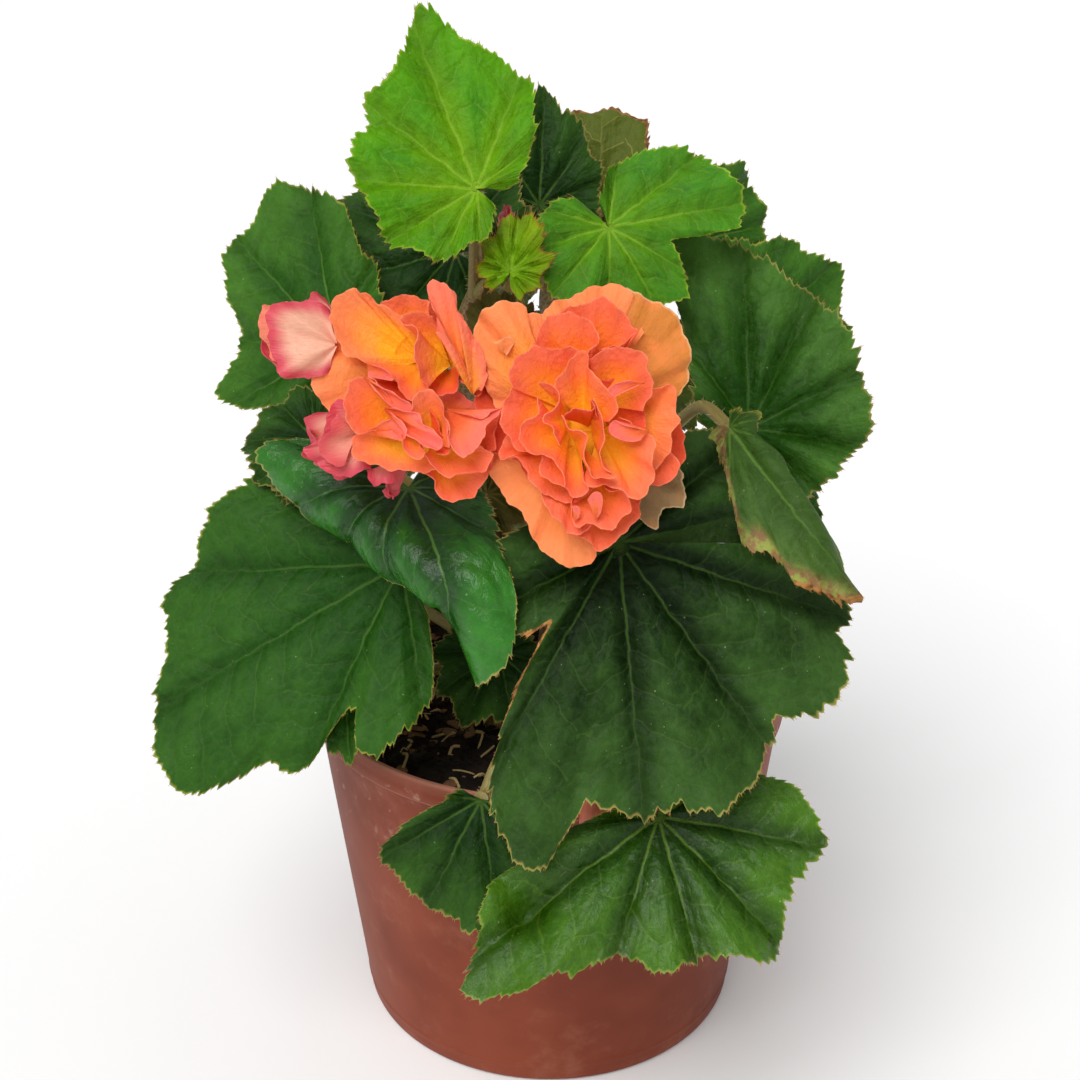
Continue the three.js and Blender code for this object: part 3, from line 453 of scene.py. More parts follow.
def leaf_material(name, look):
    """A leaf's skin. Main veins lie at whole numbers of vein, span is the width in millimetres
    between two of them, rim the distance to the margin, side 1 on the upper side, dry 1 where the
    leaf has dried, warm 1 where a fresh margin has turned yellow and red, and turned 1 where the
    margin is as pale and hairy as the underside."""
    g = Graph(name)
    flat = g.flat()
    names = ("span", "rim", "side", "dry", "warm", "turned")
    span, rim, side, dry, warm, turned = [g.value(key) for key in names]
    radius = g.node("ShaderNodeVectorMath", {0: flat}, 1, operation="LENGTH")
    share = g.math("DIVIDE", radius, g.add(g.add(radius, g.math("MAXIMUM", rim, 0.0)), 0.01))
    drift = g.math("SUBTRACT", g.noise(flat, 0.13, 2.0), 0.5)
    vein = g.add(g.value("vein"), g.math("DIVIDE", g.times(drift, 4.0), g.add(span, 14.0)))

    off, main, side_off, side_line = vein_lines(g, vein, span, share, radius, drift)

    # The net between the veins
    shift = g.node("ShaderNodeTexNoise", {"Vector": flat, "Scale": 0.5}, 1)
    warped = g.node("ShaderNodeVectorMath", {0: flat, 1: shift}, operation="ADD")
    net = g.cells(warped, 0.3)
    net_line = g.step(net, 0.02, 0.16, 1.0, 0.0)

    # Folds across the blade, blotches and grain, and masks for painted light away from the veins
    across = g.node("ShaderNodeCombineXYZ", {0: g.times(vein, 2.4), 1: g.times(radius, 0.035)})
    folds = g.noise(across, 1.0, 3.0, 0.6)
    blotch = g.times_add(g.noise(flat, 0.09, 4.0, 0.7), 1.0, g.times_add(share, 0.7, -0.8))
    blotch = g.step(g.times_add(folds, 0.7, blotch), 0.0, 1.0)
    mottle = g.noise(flat, 0.45, 4.0, 0.7)
    grain = g.noise(flat, 2.2, 3.0, 0.65)
    # near: a band along the main veins, partly the leaf's own tone and partly painted valley shade
    near = g.times(g.step(off, 0.0, 6.5, 1.0, 0.0), g.step(share, 0.2, 1.0, 0.95, 0.3))
    ridge_light = g.step(off, 0.6, 6.0, 0.0, 1.0)
    quilt_light = g.step(side_off, 0.1, 3.0, 0.0, 1.0)

    # The green of the upper side, with its veins, over the underside's
    # Deep green towards the hub and in the low folds, partly own tone and partly painted shade
    colour = g.mix(blotch, look["deep"], look["base"])
    colour = g.mix(near, colour, look["near"])
    colour = g.mix(g.times(net_line, 0.03), colour, look["vein"])
    colour = g.mix(g.times(side_line, 0.1), colour, look["vein"])
    colour = g.mix(g.times(main, look.get("bold", 0.5)), colour, look["vein"])
    under = g.mix(g.times(g.math("MAXIMUM", main, side_line), 0.5), look["under"], look["vein"])
    colour = g.mix(g.times(side, g.math("SUBTRACT", 1.0, turned)), under, colour)

    # The margin, what has dried or turned, specks and hairs
    thin = g.times_add(g.noise(flat, 0.35, 2.0), 2.4, -0.4)
    colour = g.mix(g.step(rim, 0.0, thin, 0.7, 0.0), colour, look["edge"])
    blush = g.mix(g.step(g.noise(flat, 0.3, 3.0, 0.6), 0.42, 0.58), BLUSH_YELLOW, BLUSH_RED)
    colour = g.mix(g.times(warm, 0.85), colour, blush)
    brown = g.mix(g.step(g.noise(flat, 0.5, 3.0), 0.4, 0.65), DRY_COLOUR, DRY_DARK)
    dried = g.step(g.add(dry, g.times(g.math("SUBTRACT", grain, 0.5), 0.6)), 0.3, 0.6)
    colour = g.mix(dried, colour, brown)
    speck = g.step(g.noise(flat, 1.3, 0.0), 0.83, 0.87)
    colour = g.mix(g.times(speck, 0.25), colour, SPECK_COLOUR)
    colour = g.mix(g.step(rim, -0.5, -0.1, 1.0, 0.0), colour, HAIR_COLOUR)

    # Painted light and shade: valleys darker than the crests between them, folds lit and shaded
    colour = g.shade(colour, g.times_add(grain, 0.5, g.times_add(mottle, 0.3, 0.6)))
    light = g.times_add(ridge_light, look.get("ridge_light_strength", 0.3), g.times_add(quilt_light, 0.14, 0.6))
    light = g.times_add(folds, look.get("folds", 0.4), light)
    colour = g.shade(colour, g.mix_number(side, 1.0, light))

    pucker = g.times(g.step(net, 0.0, 0.3), look.get("pucker", 0.16))
    uneven = g.times_add(mottle, 0.5, g.times(folds, g.times(share, 3.0)))
    height = leaf_height(g, flat, off, side_off, pucker, uneven)
    height = g.times(height, g.times_add(side, 2.0, -1.0))
    roughness = g.times_add(g.noise(flat, 0.9, 2.0), 0.16, look["gloss"] - 0.08)
    roughness = g.mix_number(dried, roughness, 0.8)
    return g.finish(
        colour, roughness, g.relief(height, 0.8),
        Subsurface_Weight=0.06, Subsurface_Scale=0.0015, Specular_IOR_Level=look["shine"],
    )


PETAL_HEART = (255, 172, 30)
PETAL_BASE_AND_SHADE = (222, 54, 8)
PETAL_MIDDLE = (252, 108, 36)
PETAL_OUTER = (244, 108, 72)
PETAL_EDGE = (252, 146, 112)
PETAL_PEACH = (250, 146, 84)
PETAL_PINK = (250, 112, 98)
PETAL_TAN = (210, 128, 52)
PETAL_WILTED = (146, 118, 78)
PETAL_CRISP = (232, 196, 150)


def petal_material():
    """Petals. reach runs from 0 at the base to 1 at the margin, warm makes the base golden, pale
    the flesh peach, pink the outer part pink, deep paints the flesh darker red as painted
    shade, and old tan and then brown. The red low on each petal is partly its own colour and
    partly painted shade in its hollow."""
    g = Graph("petal_flesh")
    flat = g.flat()
    reach, rim = g.value("reach"), g.value("rim")
    parts = g.tree.nodes.new("ShaderNodeSeparateXYZ")
    g.put(parts.inputs[0], flat)
    angle = g.math("ARCTAN2", parts.outputs[1], g.add(parts.outputs[0], 0.01))
    ray = g.node("ShaderNodeCombineXYZ", {0: g.times(angle, 34.0), 1: g.times(reach, 3.0)})
    streak = g.noise(ray, 1.0, 3.0, 0.6)
    blotch = g.noise(flat, 0.12, 2.0)
    cloud = g.noise(flat, 0.22, 3.0, 0.6)
    # Red low on each petal, partly the flesh's own colour and partly painted shade in its hollow
    colour = g.mix(g.step(reach, 0.2, 0.75), PETAL_BASE_AND_SHADE, PETAL_MIDDLE)
    outer = g.step(g.times_add(cloud, 0.7, reach), 0.95, 1.35, 0.0, 0.85)
    colour = g.mix(outer, colour, PETAL_OUTER)
    pale = g.times(g.value("pale"), g.step(blotch, 0.25, 0.6, 0.7, 1.0))
    colour = g.mix(pale, colour, PETAL_PEACH)
    # deep: darker red flesh as painted shade, on sheets where there is only shade between petals
    colour = g.mix(g.times(g.value("deep"), 0.6), colour, PETAL_BASE_AND_SHADE)
    warm = g.times(g.value("warm"), g.step(g.add(reach, g.times(blotch, 0.3)), 0.35, 1.1, 1.0, 0.0))
    colour = g.mix(warm, colour, PETAL_HEART)
    colour = g.mix(g.times(g.value("pink"), g.step(reach, 0.3, 1.0)), colour, PETAL_PINK)
    old = g.value("old")
    thin = g.times(g.step(streak, 0.3, 0.7, 0.15, 0.6), g.step(old, 0.1, 0.5, 1.0, 0.0))
    colour = g.mix(g.times(thin, g.step(rim, 0.0, 0.5, 1.0, 0.0)), colour, PETAL_EDGE)
    stain = g.add(old, g.times(g.math("SUBTRACT", blotch, 0.5), g.step(old, 0.0, 0.2)))
    colour = g.mix(g.step(stain, 0.05, 0.5), colour, PETAL_TAN)
    colour = g.mix(g.step(stain, 0.55, 0.95), colour, PETAL_WILTED)
    crisp = g.times(g.step(old, 0.05, 0.2), g.step(rim, 0.1, 0.7, 0.5, 0.0))
    colour = g.mix(crisp, colour, PETAL_CRISP)
    colour = g.shade(colour, g.times_add(streak, 0.2, g.times_add(cloud, 0.24, 0.78)))
    height = g.times_add(streak, 0.24, g.times(g.noise(flat, 0.8, 3.0, 0.6), 0.5))
    return g.finish(
        colour, 0.55, g.relief(height, 0.8),
        Subsurface_Weight=0.12, Subsurface_Radius=(1.0, 0.3, 0.1), Subsurface_Scale=0.0015,
        Specular_IOR_Level=0.2,
    )


BUD_BASE = (222, 96, 100)
BUD_TIP = (208, 58, 76)
BUD_CREAM = (246, 196, 158)
BUD_WARM = (248, 132, 96)
BUD_STREAK = (150, 44, 48)


def bud_material():
    """Buds: crimson at the margins and the tip, cream low down."""
    g = Graph("bud_flesh")
    flat = g.flat()
    reach, rim = g.value("reach"), g.value("rim")
    streak = g.noise(g.stretch(flat, (0.5, 4.0, 1.0)), 1.0, 3.0, 0.6)
    inward = g.times(g.step(rim, 0.6, 5.5), g.step(streak, 0.3, 0.7, 0.7, 1.0))
    colour = g.mix(g.step(reach, 0.2, 0.9), BUD_BASE, BUD_TIP)
    colour = g.mix(g.times(g.value("cream"), inward), colour, BUD_CREAM)
    colour = g.mix(g.times(g.value("warm"), 0.8), colour, BUD_WARM)
    colour = g.mix(g.times(g.step(streak, 0.5, 0.8), 0.3), colour, BUD_STREAK)
    height = g.times(streak, 0.3)
    return g.finish(
        colour, 0.42, g.relief(height, 0.8),
        Subsurface_Weight=0.2, Subsurface_Radius=(1.0, 0.4, 0.3), Subsurface_Scale=0.002,
    )


STEM_BROWN = (104, 92, 48)
STALK_GREEN = (134, 132, 66)
STALK_RED = (158, 78, 50)
STALK_PINK = (190, 82, 66)
STEM_SPOT = (184, 168, 120)
STEM_DOWN = (206, 186, 140)


def stem_material():
    """Stems and stalks. kind is 0 on a stem, 1 on a leaf stalk, 2 on a flower stalk, 3 on hairs."""
    g = Graph("stem_skin")
    flat, kind = g.flat(), g.value("kind")
    streak = g.noise(g.stretch(flat, (2.2, 0.25, 1.0)), 1.0, 3.0, 0.6)
    colour = g.mix(g.step(kind, 0.2, 0.8), STEM_BROWN, STALK_GREEN)
    red = g.times(g.step(streak, 0.4, 0.7), g.step(kind, 0.5, 1.5, 0.5, 0.6))
    colour = g.mix(red, colour, STALK_RED)
    colour = g.mix(g.step(kind, 1.2, 1.8), colour, STALK_PINK)
    spots = g.step(g.cells(flat, 0.7), 0.0, 0.14, 0.4, 0.0)
    colour = g.mix(g.times(spots, g.step(kind, 0.2, 0.8, 1.0, 0.2)), colour, STEM_SPOT)
    colour = g.mix(g.step(kind, 2.5, 3.0), colour, STEM_DOWN)
    return g.finish(
        colour, 0.45, g.relief(g.times(streak, 0.3), 0.8),
        Subsurface_Weight=0.1, Subsurface_Scale=0.002,
    )


POT_BRIGHT = (132, 60, 36)
POT_DARK = (114, 48, 26)
POT_DUST = (186, 128, 104)
POT_SCRATCH = (206, 160, 140)
POT_SCUFF = (212, 176, 158)
POT_WORN = (196, 140, 118)
POT_INSIDE_DARK = (50, 34, 28)


def pot_material():
    """Matte brown-red plastic with a paler worn rim, scuffs and dust, and darker inside, most of all
    down towards the soil.
    """
    g = Graph("pot_plastic")
    place = g.place()
    parts = g.tree.nodes.new("ShaderNodeSeparateXYZ")
    g.put(parts.inputs[0], place)
    height, flat = parts.outputs[2], g.flat()
    wide = g.noise(place, 22.0, 3.0, 0.6)
    colour = g.mix(g.step(wide, 0.35, 0.7), POT_BRIGHT, POT_DARK)
    dust = g.step(g.noise(place, 60.0, 4.0, 0.7), 0.5, 0.75)
    colour = g.mix(g.times(dust, 0.18), colour, POT_DUST)
    scratch = g.step(g.noise(g.stretch(flat, (0.06, 1.4, 1.0)), 1.0, 3.0, 0.7), 0.66, 0.74)
    near_rim = g.step(height, 0.06, 0.1)
    colour = g.mix(g.times(scratch, g.times(near_rim, 0.45)), colour, POT_SCRATCH)
    scuff = g.step(g.noise(place, 210.0, 2.0, 0.6), 0.62, 0.72)
    colour = g.mix(g.times(scuff, g.times(near_rim, 0.35)), colour, POT_SCUFF)
    colour = g.mix(g.times(g.value("wear"), 0.5), colour, POT_WORN)
    # The inside is darker, most of all down towards the soil
    inside_darkening = g.times(g.value("inside"), g.step(height, 0.092, 0.103, 0.85, 0.35))
    colour = g.mix(inside_darkening, colour, POT_INSIDE_DARK)
    bump = g.times_add(wide, 0.3, g.times(g.noise(place, 900.0, 2.0), 0.03))
    roughness = g.times_add(wide, 0.15, 0.48)
    return g.finish(colour, roughness, g.relief(bump, 0.5), Specular_IOR_Level=0.22)


PEAT_DARK = (26, 19, 14)
PEAT_LIGHT = (50, 38, 29)
BARK_DARK = (98, 66, 42)
BARK_LIGHT = (158, 120, 82)
STRAW = (206, 178, 124)


def soil_material():
    """Dark crumbly peat. kind is 0 on soil, 1 on bark and 2 on straw and roots."""
    g = Graph("peat")
    place, kind = g.place(), g.value("kind")
    grain = g.noise(place, 900.0, 3.0, 0.7)
    colour = g.mix(g.step(g.noise(place, 150.0, 3.0), 0.35, 0.7), PEAT_DARK, PEAT_LIGHT)
    colour = g.mix(g.step(kind, 0.3, 0.7), colour, g.mix(grain, BARK_DARK, BARK_LIGHT))
    colour = g.mix(g.step(kind, 1.3, 1.7), colour, STRAW)
    return g.finish(colour, 0.9, g.relief(g.times(grain, 0.6), 1.0), Specular_IOR_Level=0.25)


# Leaves, as in the part's source. A leaf grows from its hub towards its tip, and face is the way
# its upper side looks. Its outline is [angle, radius] round the hub, with 0 at the tip, and starts
# and ends at the notch. wave is [height, count, phase], a bend is [direction, start, radius, turn]
# and a hill is [along, across, width, height]. dry, warm and turned are stretches of the margin as
# [from, to, depth], and tone holds what differs from the leaf's look.
PLAIN_OUTLINE = [
    [-165, 0.3], [-145, 0.55], [-118, 0.62], [-104, 0.72], [-88, 0.7], [-68, 0.82], [-52, 0.76],
    [-34, 0.9], [-20, 0.84], [-4, 1], [12, 0.86], [28, 0.86], [44, 0.74], [62, 0.76], [82, 0.64],
    [104, 0.66], [128, 0.5], [150, 0.46], [166, 0.28],
]


def plain_outline(size, mirrored, width=1):
    """The common leaf at a size, mirrored or narrower where asked."""
    turned = []
    for angle, radius in PLAIN_OUTLINE:
        x, y = math.cos(math.radians(angle)), math.sin(math.radians(angle)) * width
        new = math.degrees(math.atan2(y, x))
        turned.append((-new if mirrored else new, radius * size * math.hypot(x, y)))
    return turned[::-1] if mirrored else turned


LEAVES = [
    {
        "name": "leaf_top", "look": "leafBright", "hub": [-18, -40, 257], "tip": [-0.3, 0.47, 0.83],
        "face": [0.05, -0.85, 0.5], "size": 42, "cup": 0.05, "wave": [1.2, 5, 40],
        "outline": [
            [-108, 6], [-90, 11], [-74, 15], [-54, 23], [-45, 28], [-36, 31], [-27, 33], [-20, 35],
            [-13, 36], [-6, 42], [0, 46], [5, 42], [13, 36], [20, 34], [33, 34], [42, 30.5], [59, 31],
            [70, 29], [83, 26], [96, 24.5], [104, 25.5], [116, 22], [132, 20], [145, 17.5], [158, 14],
            [175, 12], [192, 8.5], [212, 5],
        ],
    },
    {
        "name": "leaf_top_right", "look": "leafBright", "hub": [14, -32, 246], "tip": [0.97, 0.24, 0.05],
        "face": [0.15, -0.75, 0.65], "size": 34, "cup": 0.03, "wave": [1, 5, 0],
        "bends": [[-80, 0, 25, 25]],
        "outline": [
            [-240, 7], [-225, 12], [-205, 16], [-180, 18], [-160, 20], [-138, 23], [-120, 19], [-104, 18],
            [-72, 21], [-47, 25], [-32, 20], [-22, 17.5], [-15, 17.5], [-10, 24], [-6, 32], [5, 36],
            [16, 34], [30, 32], [40, 29], [48, 27], [60, 22], [75, 17], [88, 10], [100, 6],
        ],
        "tone": {"base": (64, 124, 18), "deep": (40, 96, 26), "near": (90, 146, 14)},
    },
    {
        "name": "leaf_left_high", "look": "leafMid", "hub": [-57, -12, 210], "tip": [-0.66, 0.57, 0.49],
        "face": [-0.35, -0.8, 0.45], "size": 45, "cup": -0.06, "wave": [1.2, 6, 0],
        "outline": [
            [-150, 8], [-120, 15], [-95, 18], [-75, 22], [-58, 28], [-48, 38], [-34, 45], [-20, 53],
            [-12, 50], [-4, 47], [4, 47], [14, 41], [24, 34], [36, 31], [48, 32], [57, 39], [70, 34],
            [85, 24], [110, 20], [135, 16], [160, 8],
        ],
    },
    {
        "name": "leaf_left_big", "look": "leafMid", "hub": [-38, -52, 164], "tip": [-0.84, -0.11, -0.54],
        "face": [-0.25, -0.8, 0.55], "size": 80, "cup": -0.06, "wave": [2, 7, 60],
        "outline": [
            [-165, 8], [-140, 11], [-110, 17], [-85, 31], [-66, 47], [-52, 54], [-40, 58], [-32, 60],
            [-26, 69], [-18, 68], [-9, 73], [0, 80], [9, 83], [14, 82], [18, 74], [23, 62], [30, 60],
            [34, 52], [36.5, 41.5], [39.5, 39], [43, 41], [46, 46.5], [52, 49], [60, 44], [68, 38],
            [76, 31], [82, 20], [90, 12], [100, 8],
        ],
        "pleat": 1.8, "turned": [[-150, -78, 7]],
        "tone": {"base": (44, 84, 22), "deep": (26, 62, 14), "near": (28, 72, 10), "bold": 0.3},
    },
    {
        "name": "leaf_glossy", "look": "leafDark", "hub": [-35, -60, 188], "tip": [0.3, -0.89, -0.35],
        "face": [0.05, -0.35, 0.93], "size": 45, "cup": 0.02, "wave": [0.8, 6, 0],
        "bends": [[-60, 9, 7, 125], [20, 26, 14, 50]],
        "outline": [
            [-150, 16], [-138, 32], [-128, 40], [-118, 36], [-105, 30], [-80, 28], [-55, 27], [-30, 32],
            [-12, 46], [-6, 56], [0, 60], [7, 60], [14, 56], [21, 45], [28, 33], [42, 25], [60, 20],
            [85, 14], [110, 12], [140, 8],
        ],
        "pleat": 1.8, "ruffle": 0.5,
        "tone": {
            "base": (38, 100, 22), "deep": (10, 50, 4), "near": (10, 54, 2), "gloss": 0.18,
            "shine": 0.32, "vein": (96, 146, 56), "bold": 0.6, "pucker": 0.05, "ridge_light_strength": 0.5,
        },
    },
    {
        "name": "leaf_front_big", "look": "leafDark", "hub": [16, -73.6, 179.2], "tip": [0.07, -0.5, -0.86],
        "face": [0.05, -0.85, 0.5], "size": 75, "cup": -0.05, "wave": [2, 7, 0],
        "outline": [
            [-273, 36], [-255, 32], [-244, 33], [-231, 39], [-216, 32], [-199, 19], [-165, 17],
            [-131, 18], [-105, 23], [-90, 29], [-72, 34], [-56, 36], [-49, 31], [-44, 27], [-40, 40],
            [-36, 53], [-31, 67], [-25, 75], [-20, 80], [-16, 75], [-12, 63], [-5, 63], [1, 65], [8, 63],
            [15, 67], [25, 65], [33, 60], [38, 56], [44, 61], [52, 64], [59, 61], [64, 57], [72, 57],
            [79, 47], [84, 40], [86, 37.5],
        ],
        "pleat": 2.4, "teeth": (2.0, 1.0), "dry": [[-50, -38, 3]],
        "tone": {
            "base": (43, 71, 25), "deep": (6, 26, 0), "near": (4, 22, 0), "bold": 0.3, "ridge_light_strength": 0.45,
            "folds": 0.8,
        },
    },
    {
        "name": "leaf_right_big", "look": "leafDark", "hub": [51, -36, 195], "tip": [-0.05, 0.57, 0.82],
        "face": [-0.15, -0.8, 0.55], "size": 45, "cup": 0.1, "wave": [1.5, 6, 90],
        "outline": [
            [-165, 14], [-152, 24], [-140, 23], [-128, 26], [-117, 25], [-105, 29], [-88, 31], [-69, 31],
            [-50, 35], [-35, 37], [-20, 40], [-8, 44], [4, 49], [14, 54], [19, 56], [22, 46], [28, 32],
            [37, 23], [52, 17], [70, 14], [95, 10], [130, 6],
        ],
        "pleat": 2.4, "hills": [[13, 10, 8, 4], [28, 15, 9, 4]], "dry": [[14, 24, 1.5]],
        "tone": {"base": (62, 102, 34), "deep": (22, 54, 6), "near": (26, 66, 6), "bold": 0.3},
    },
    {
        "name": "leaf_low_front", "look": "leafBright", "hub": [26, -92, 114], "tip": [0.25, -0.72, -0.64],
        "face": [0.05, -0.65, 0.75], "size": 42, "cup": -0.12, "wave": [1.6, 6, 30],
        "outline": [
            [-120, 6], [-104, 14], [-94, 25], [-87, 33], [-84, 42], [-80, 46], [-76, 49], [-72, 51],
            [-67, 57], [-63.5, 62], [-60, 60], [-52, 51], [-48, 44], [-43, 42], [-36, 36], [-26, 34],
            [-14, 37], [-4, 35], [6, 35], [16, 39], [26, 43], [36, 39], [48, 36], [58, 38], [68, 42],
            [76, 40], [90, 35], [102, 29], [125, 18], [160, 8],
        ],
        "pleat": 2.6, "hills": [[13, -36, 5, -7], [8, -45, 4, 4]],
        "tone": {
            "base": (49, 84, 6), "deep": (24, 57, 2), "near": (22, 53, 0), "gloss": 0.28, "pucker": 0.1,
            "vein": (122, 160, 50), "edge": (110, 122, 44), "shine": 0.26, "ridge_light_strength": 0.6, "folds": 0.7,
        },
    },
    {
        "name": "leaf_back_top", "look": "leafDark", "hub": [-3, 30, 239], "tip": [0, 0.3, 0.95],
        "face": [0.15, -0.9, 0.35], "size": 32, "cup": -0.05, "wave": [1, 5, 20],
        "outline": plain_outline(34, False, 0.7),
    },
    {
        "name": "leaf_back_curled", "look": "leafBack", "hub": [14, 42, 234], "tip": [0.08, 0.25, 0.95],
        "face": [0.1, 0.9, -0.35], "reach": 4, "size": 36, "cup": 0.03, "wave": [1, 5, 90],
        "bends": [[0, 28, -6, 50]], "dry": [[-36, 40, 2.5]],
        "outline": [
            [-150, 8], [-110, 12], [-80, 14], [-55, 18], [-38, 24], [-25, 30], [-12, 33], [0, 34],
            [10, 33], [18, 32], [24, 30], [32, 24], [45, 19], [65, 15], [90, 12], [120, 9], [155, 7],
        ],
        "tone": {"under": (84, 96, 26)},
    },
    {
        "name": "leaf_young", "look": "leafBright", "hub": [-10, -45, 238], "tip": [0.2, 0.45, 0.85],
        "face": [0, -0.8, 0.6], "size": 14, "cup": 0.1, "wave": [0.6, 9, 0],
        "outline": plain_outline(15, False, 0.75),
        "teeth": (2.4, 0.8), "pleat": 1.8, "hair": 1.8,
        "tone": {"base": (126, 150, 14), "deep": (96, 124, 14), "edge": (150, 74, 40), "bold": 0.3},
    },
    {
        "name": "leaf_back_left", "look": "leafDark", "hub": [-26, 8, 231], "tip": [-0.9, 0.3, 0.25],
        "face": [-0.1, -0.8, 0.6], "size": 38, "cup": -0.05, "wave": [1.2, 5, 0],
        "outline": plain_outline(38, False),
    },
    {
        "name": "leaf_left_small", "look": "leafDark", "hub": [-61, -31, 190], "tip": [-0.96, 0.2, 0],
        "face": [-0.2, -0.7, 0.6], "size": 22, "cup": -0.15, "wave": [0.8, 5, 0],
        "outline": plain_outline(22, True),
    },
    {
        "name": "leaf_left_under", "look": "leafMid", "hub": [-53, -58, 129], "tip": [0.05, -0.45, -0.9],
        "face": [-0.2, -0.85, 0.5], "size": 20, "cup": -0.1, "wave": [0.6, 5, 0],
        "outline": plain_outline(18, False, 0.6),
    },
    {
        "name": "leaf_curled", "look": "leafMid", "hub": [42, -67, 206], "tip": [0.55, -0.56, -0.64],
        "face": [-0.3, -0.75, 0.55], "reach": 3.8, "size": 40, "wave": [1, 6, 0],
        "bends": [[86, 2.4, 2.2, 130]],
        "outline": [
            [-146, 3.6], [-100, 4.5], [-70, 5], [-50, 7], [-40, 10], [-35, 15], [-30, 21], [-27, 29],
            [-23, 31], [-18, 31], [-14, 36], [-12, 42], [-8, 44], [-3, 50], [0, 52], [3, 49], [7, 40],
            [12, 31], [19, 21], [31, 12], [45, 8], [90, 5], [140, 4],
        ],
        "warm": [[-150, 0, 8]], "dry": [[-12, 4, 2.5]], "ruffle": 1.8,
        "tone": {"base": (66, 92, 38), "deep": (42, 72, 24), "near": (56, 86, 28)},
    },
    {
        "name": "leaf_back_right_high", "look": "leafMid", "hub": [43, 25, 230], "tip": [0.6, 0.3, 0.75],
        "face": [0.3, -0.85, 0.4], "size": 28, "cup": -0.1, "wave": [1, 5, 0],
        "outline": plain_outline(27, True),
    },
    {
        "name": "leaf_back_right", "look": "leafMid", "hub": [56, 14, 204], "tip": [0.75, 0.4, 0.5],
        "face": [0.3, -0.85, 0.35], "size": 36, "cup": -0.08, "wave": [1.2, 5, 60],
        "outline": plain_outline(38, False),
    },
    {
        "name": "leaf_over_pot", "look": "leafDark", "hub": [-18, -76, 109], "tip": [-0.43, -0.33, -0.84],
        "face": [-0.1, -0.9, 0.4], "size": 30, "cup": -0.05, "wave": [1, 6, 0],
        "outline": [
            [-95, 6], [-60, 10], [-44, 22], [-38, 28], [-28, 30], [-14, 30], [0, 31], [12, 31], [22, 34],
            [34, 31], [46, 33], [56, 34], [68, 28], [85, 18], [110, 8],
        ],
        "dry": [[44, 74, 5]],
    },
    {
        "name": "leaf_inner_low", "look": "leafDark", "hub": [-14, -34, 129], "tip": [-0.4, -0.6, -0.7],
        "face": [0, -0.7, 0.7], "size": 22, "cup": -0.1, "wave": [0.8, 5, 0],
        "outline": plain_outline(22, False),
    },
    {
        "name": "leaf_inner_small", "look": "leafBack", "hub": [-16, -54, 184], "tip": [0.3, -0.6, -0.7],
        "face": [0, -0.7, 0.7], "size": 12, "cup": 0.1, "wave": [0.5, 5, 0],
        "outline": plain_outline(13, True),
    },
    {
        "name": "leaf_right_fragment", "look": "leafMid", "hub": [64, -18, 170], "tip": [0.6, -0.1, -0.8],
        "face": [0.5, -0.8, 0.3], "size": 15, "cup": -0.1, "wave": [0.5, 5, 0],
        "outline": plain_outline(16, False),
    },
    {
        "name": "leaf_inner_high", "look": "leafBack", "hub": [-12, -34, 218], "tip": [-0.4, 0.3, 0.8],
        "face": [-0.1, -0.85, 0.5], "size": 15, "cup": 0.1, "wave": [0.5, 5, 0],
        "outline": plain_outline(13, False),
    },
]

# Leaves on the far side, by a rule: [azimuth round the pot, distance, height, size, lean]
FAR_LEAVES = [
    [25, 62, 150, 40, 35], [62, 50, 195, 42, 30], [95, 66, 150, 46, 30], [118, 46, 215, 38, 45],
    [140, 64, 172, 44, 30], [172, 66, 132, 42, 25], [75, 70, 118, 36, 20], [-6, 54, 148, 32, 30],
    [186, 56, 166, 32, 35],
]
for i, (azimuth, distance, height, size, lean) in enumerate(FAR_LEAVES):
    x, y = math.cos(math.radians(azimuth)), math.sin(math.radians(azimuth))
    flat_part = math.cos(math.radians(lean))
    LEAVES.append({
        "name": f"leaf_far_{i + 1}", "look": "leafMid", "hub": [distance * x, distance * y, height],
        "tip": [0.6 * x, 0.6 * y, -0.8],
        "face": [flat_part * x, flat_part * y, math.sin(math.radians(lean))],
        "size": size, "cup": -0.08, "wave": [1.4, 6, 50 * i],
        "outline": plain_outline(size, i % 2 == 1),
    })
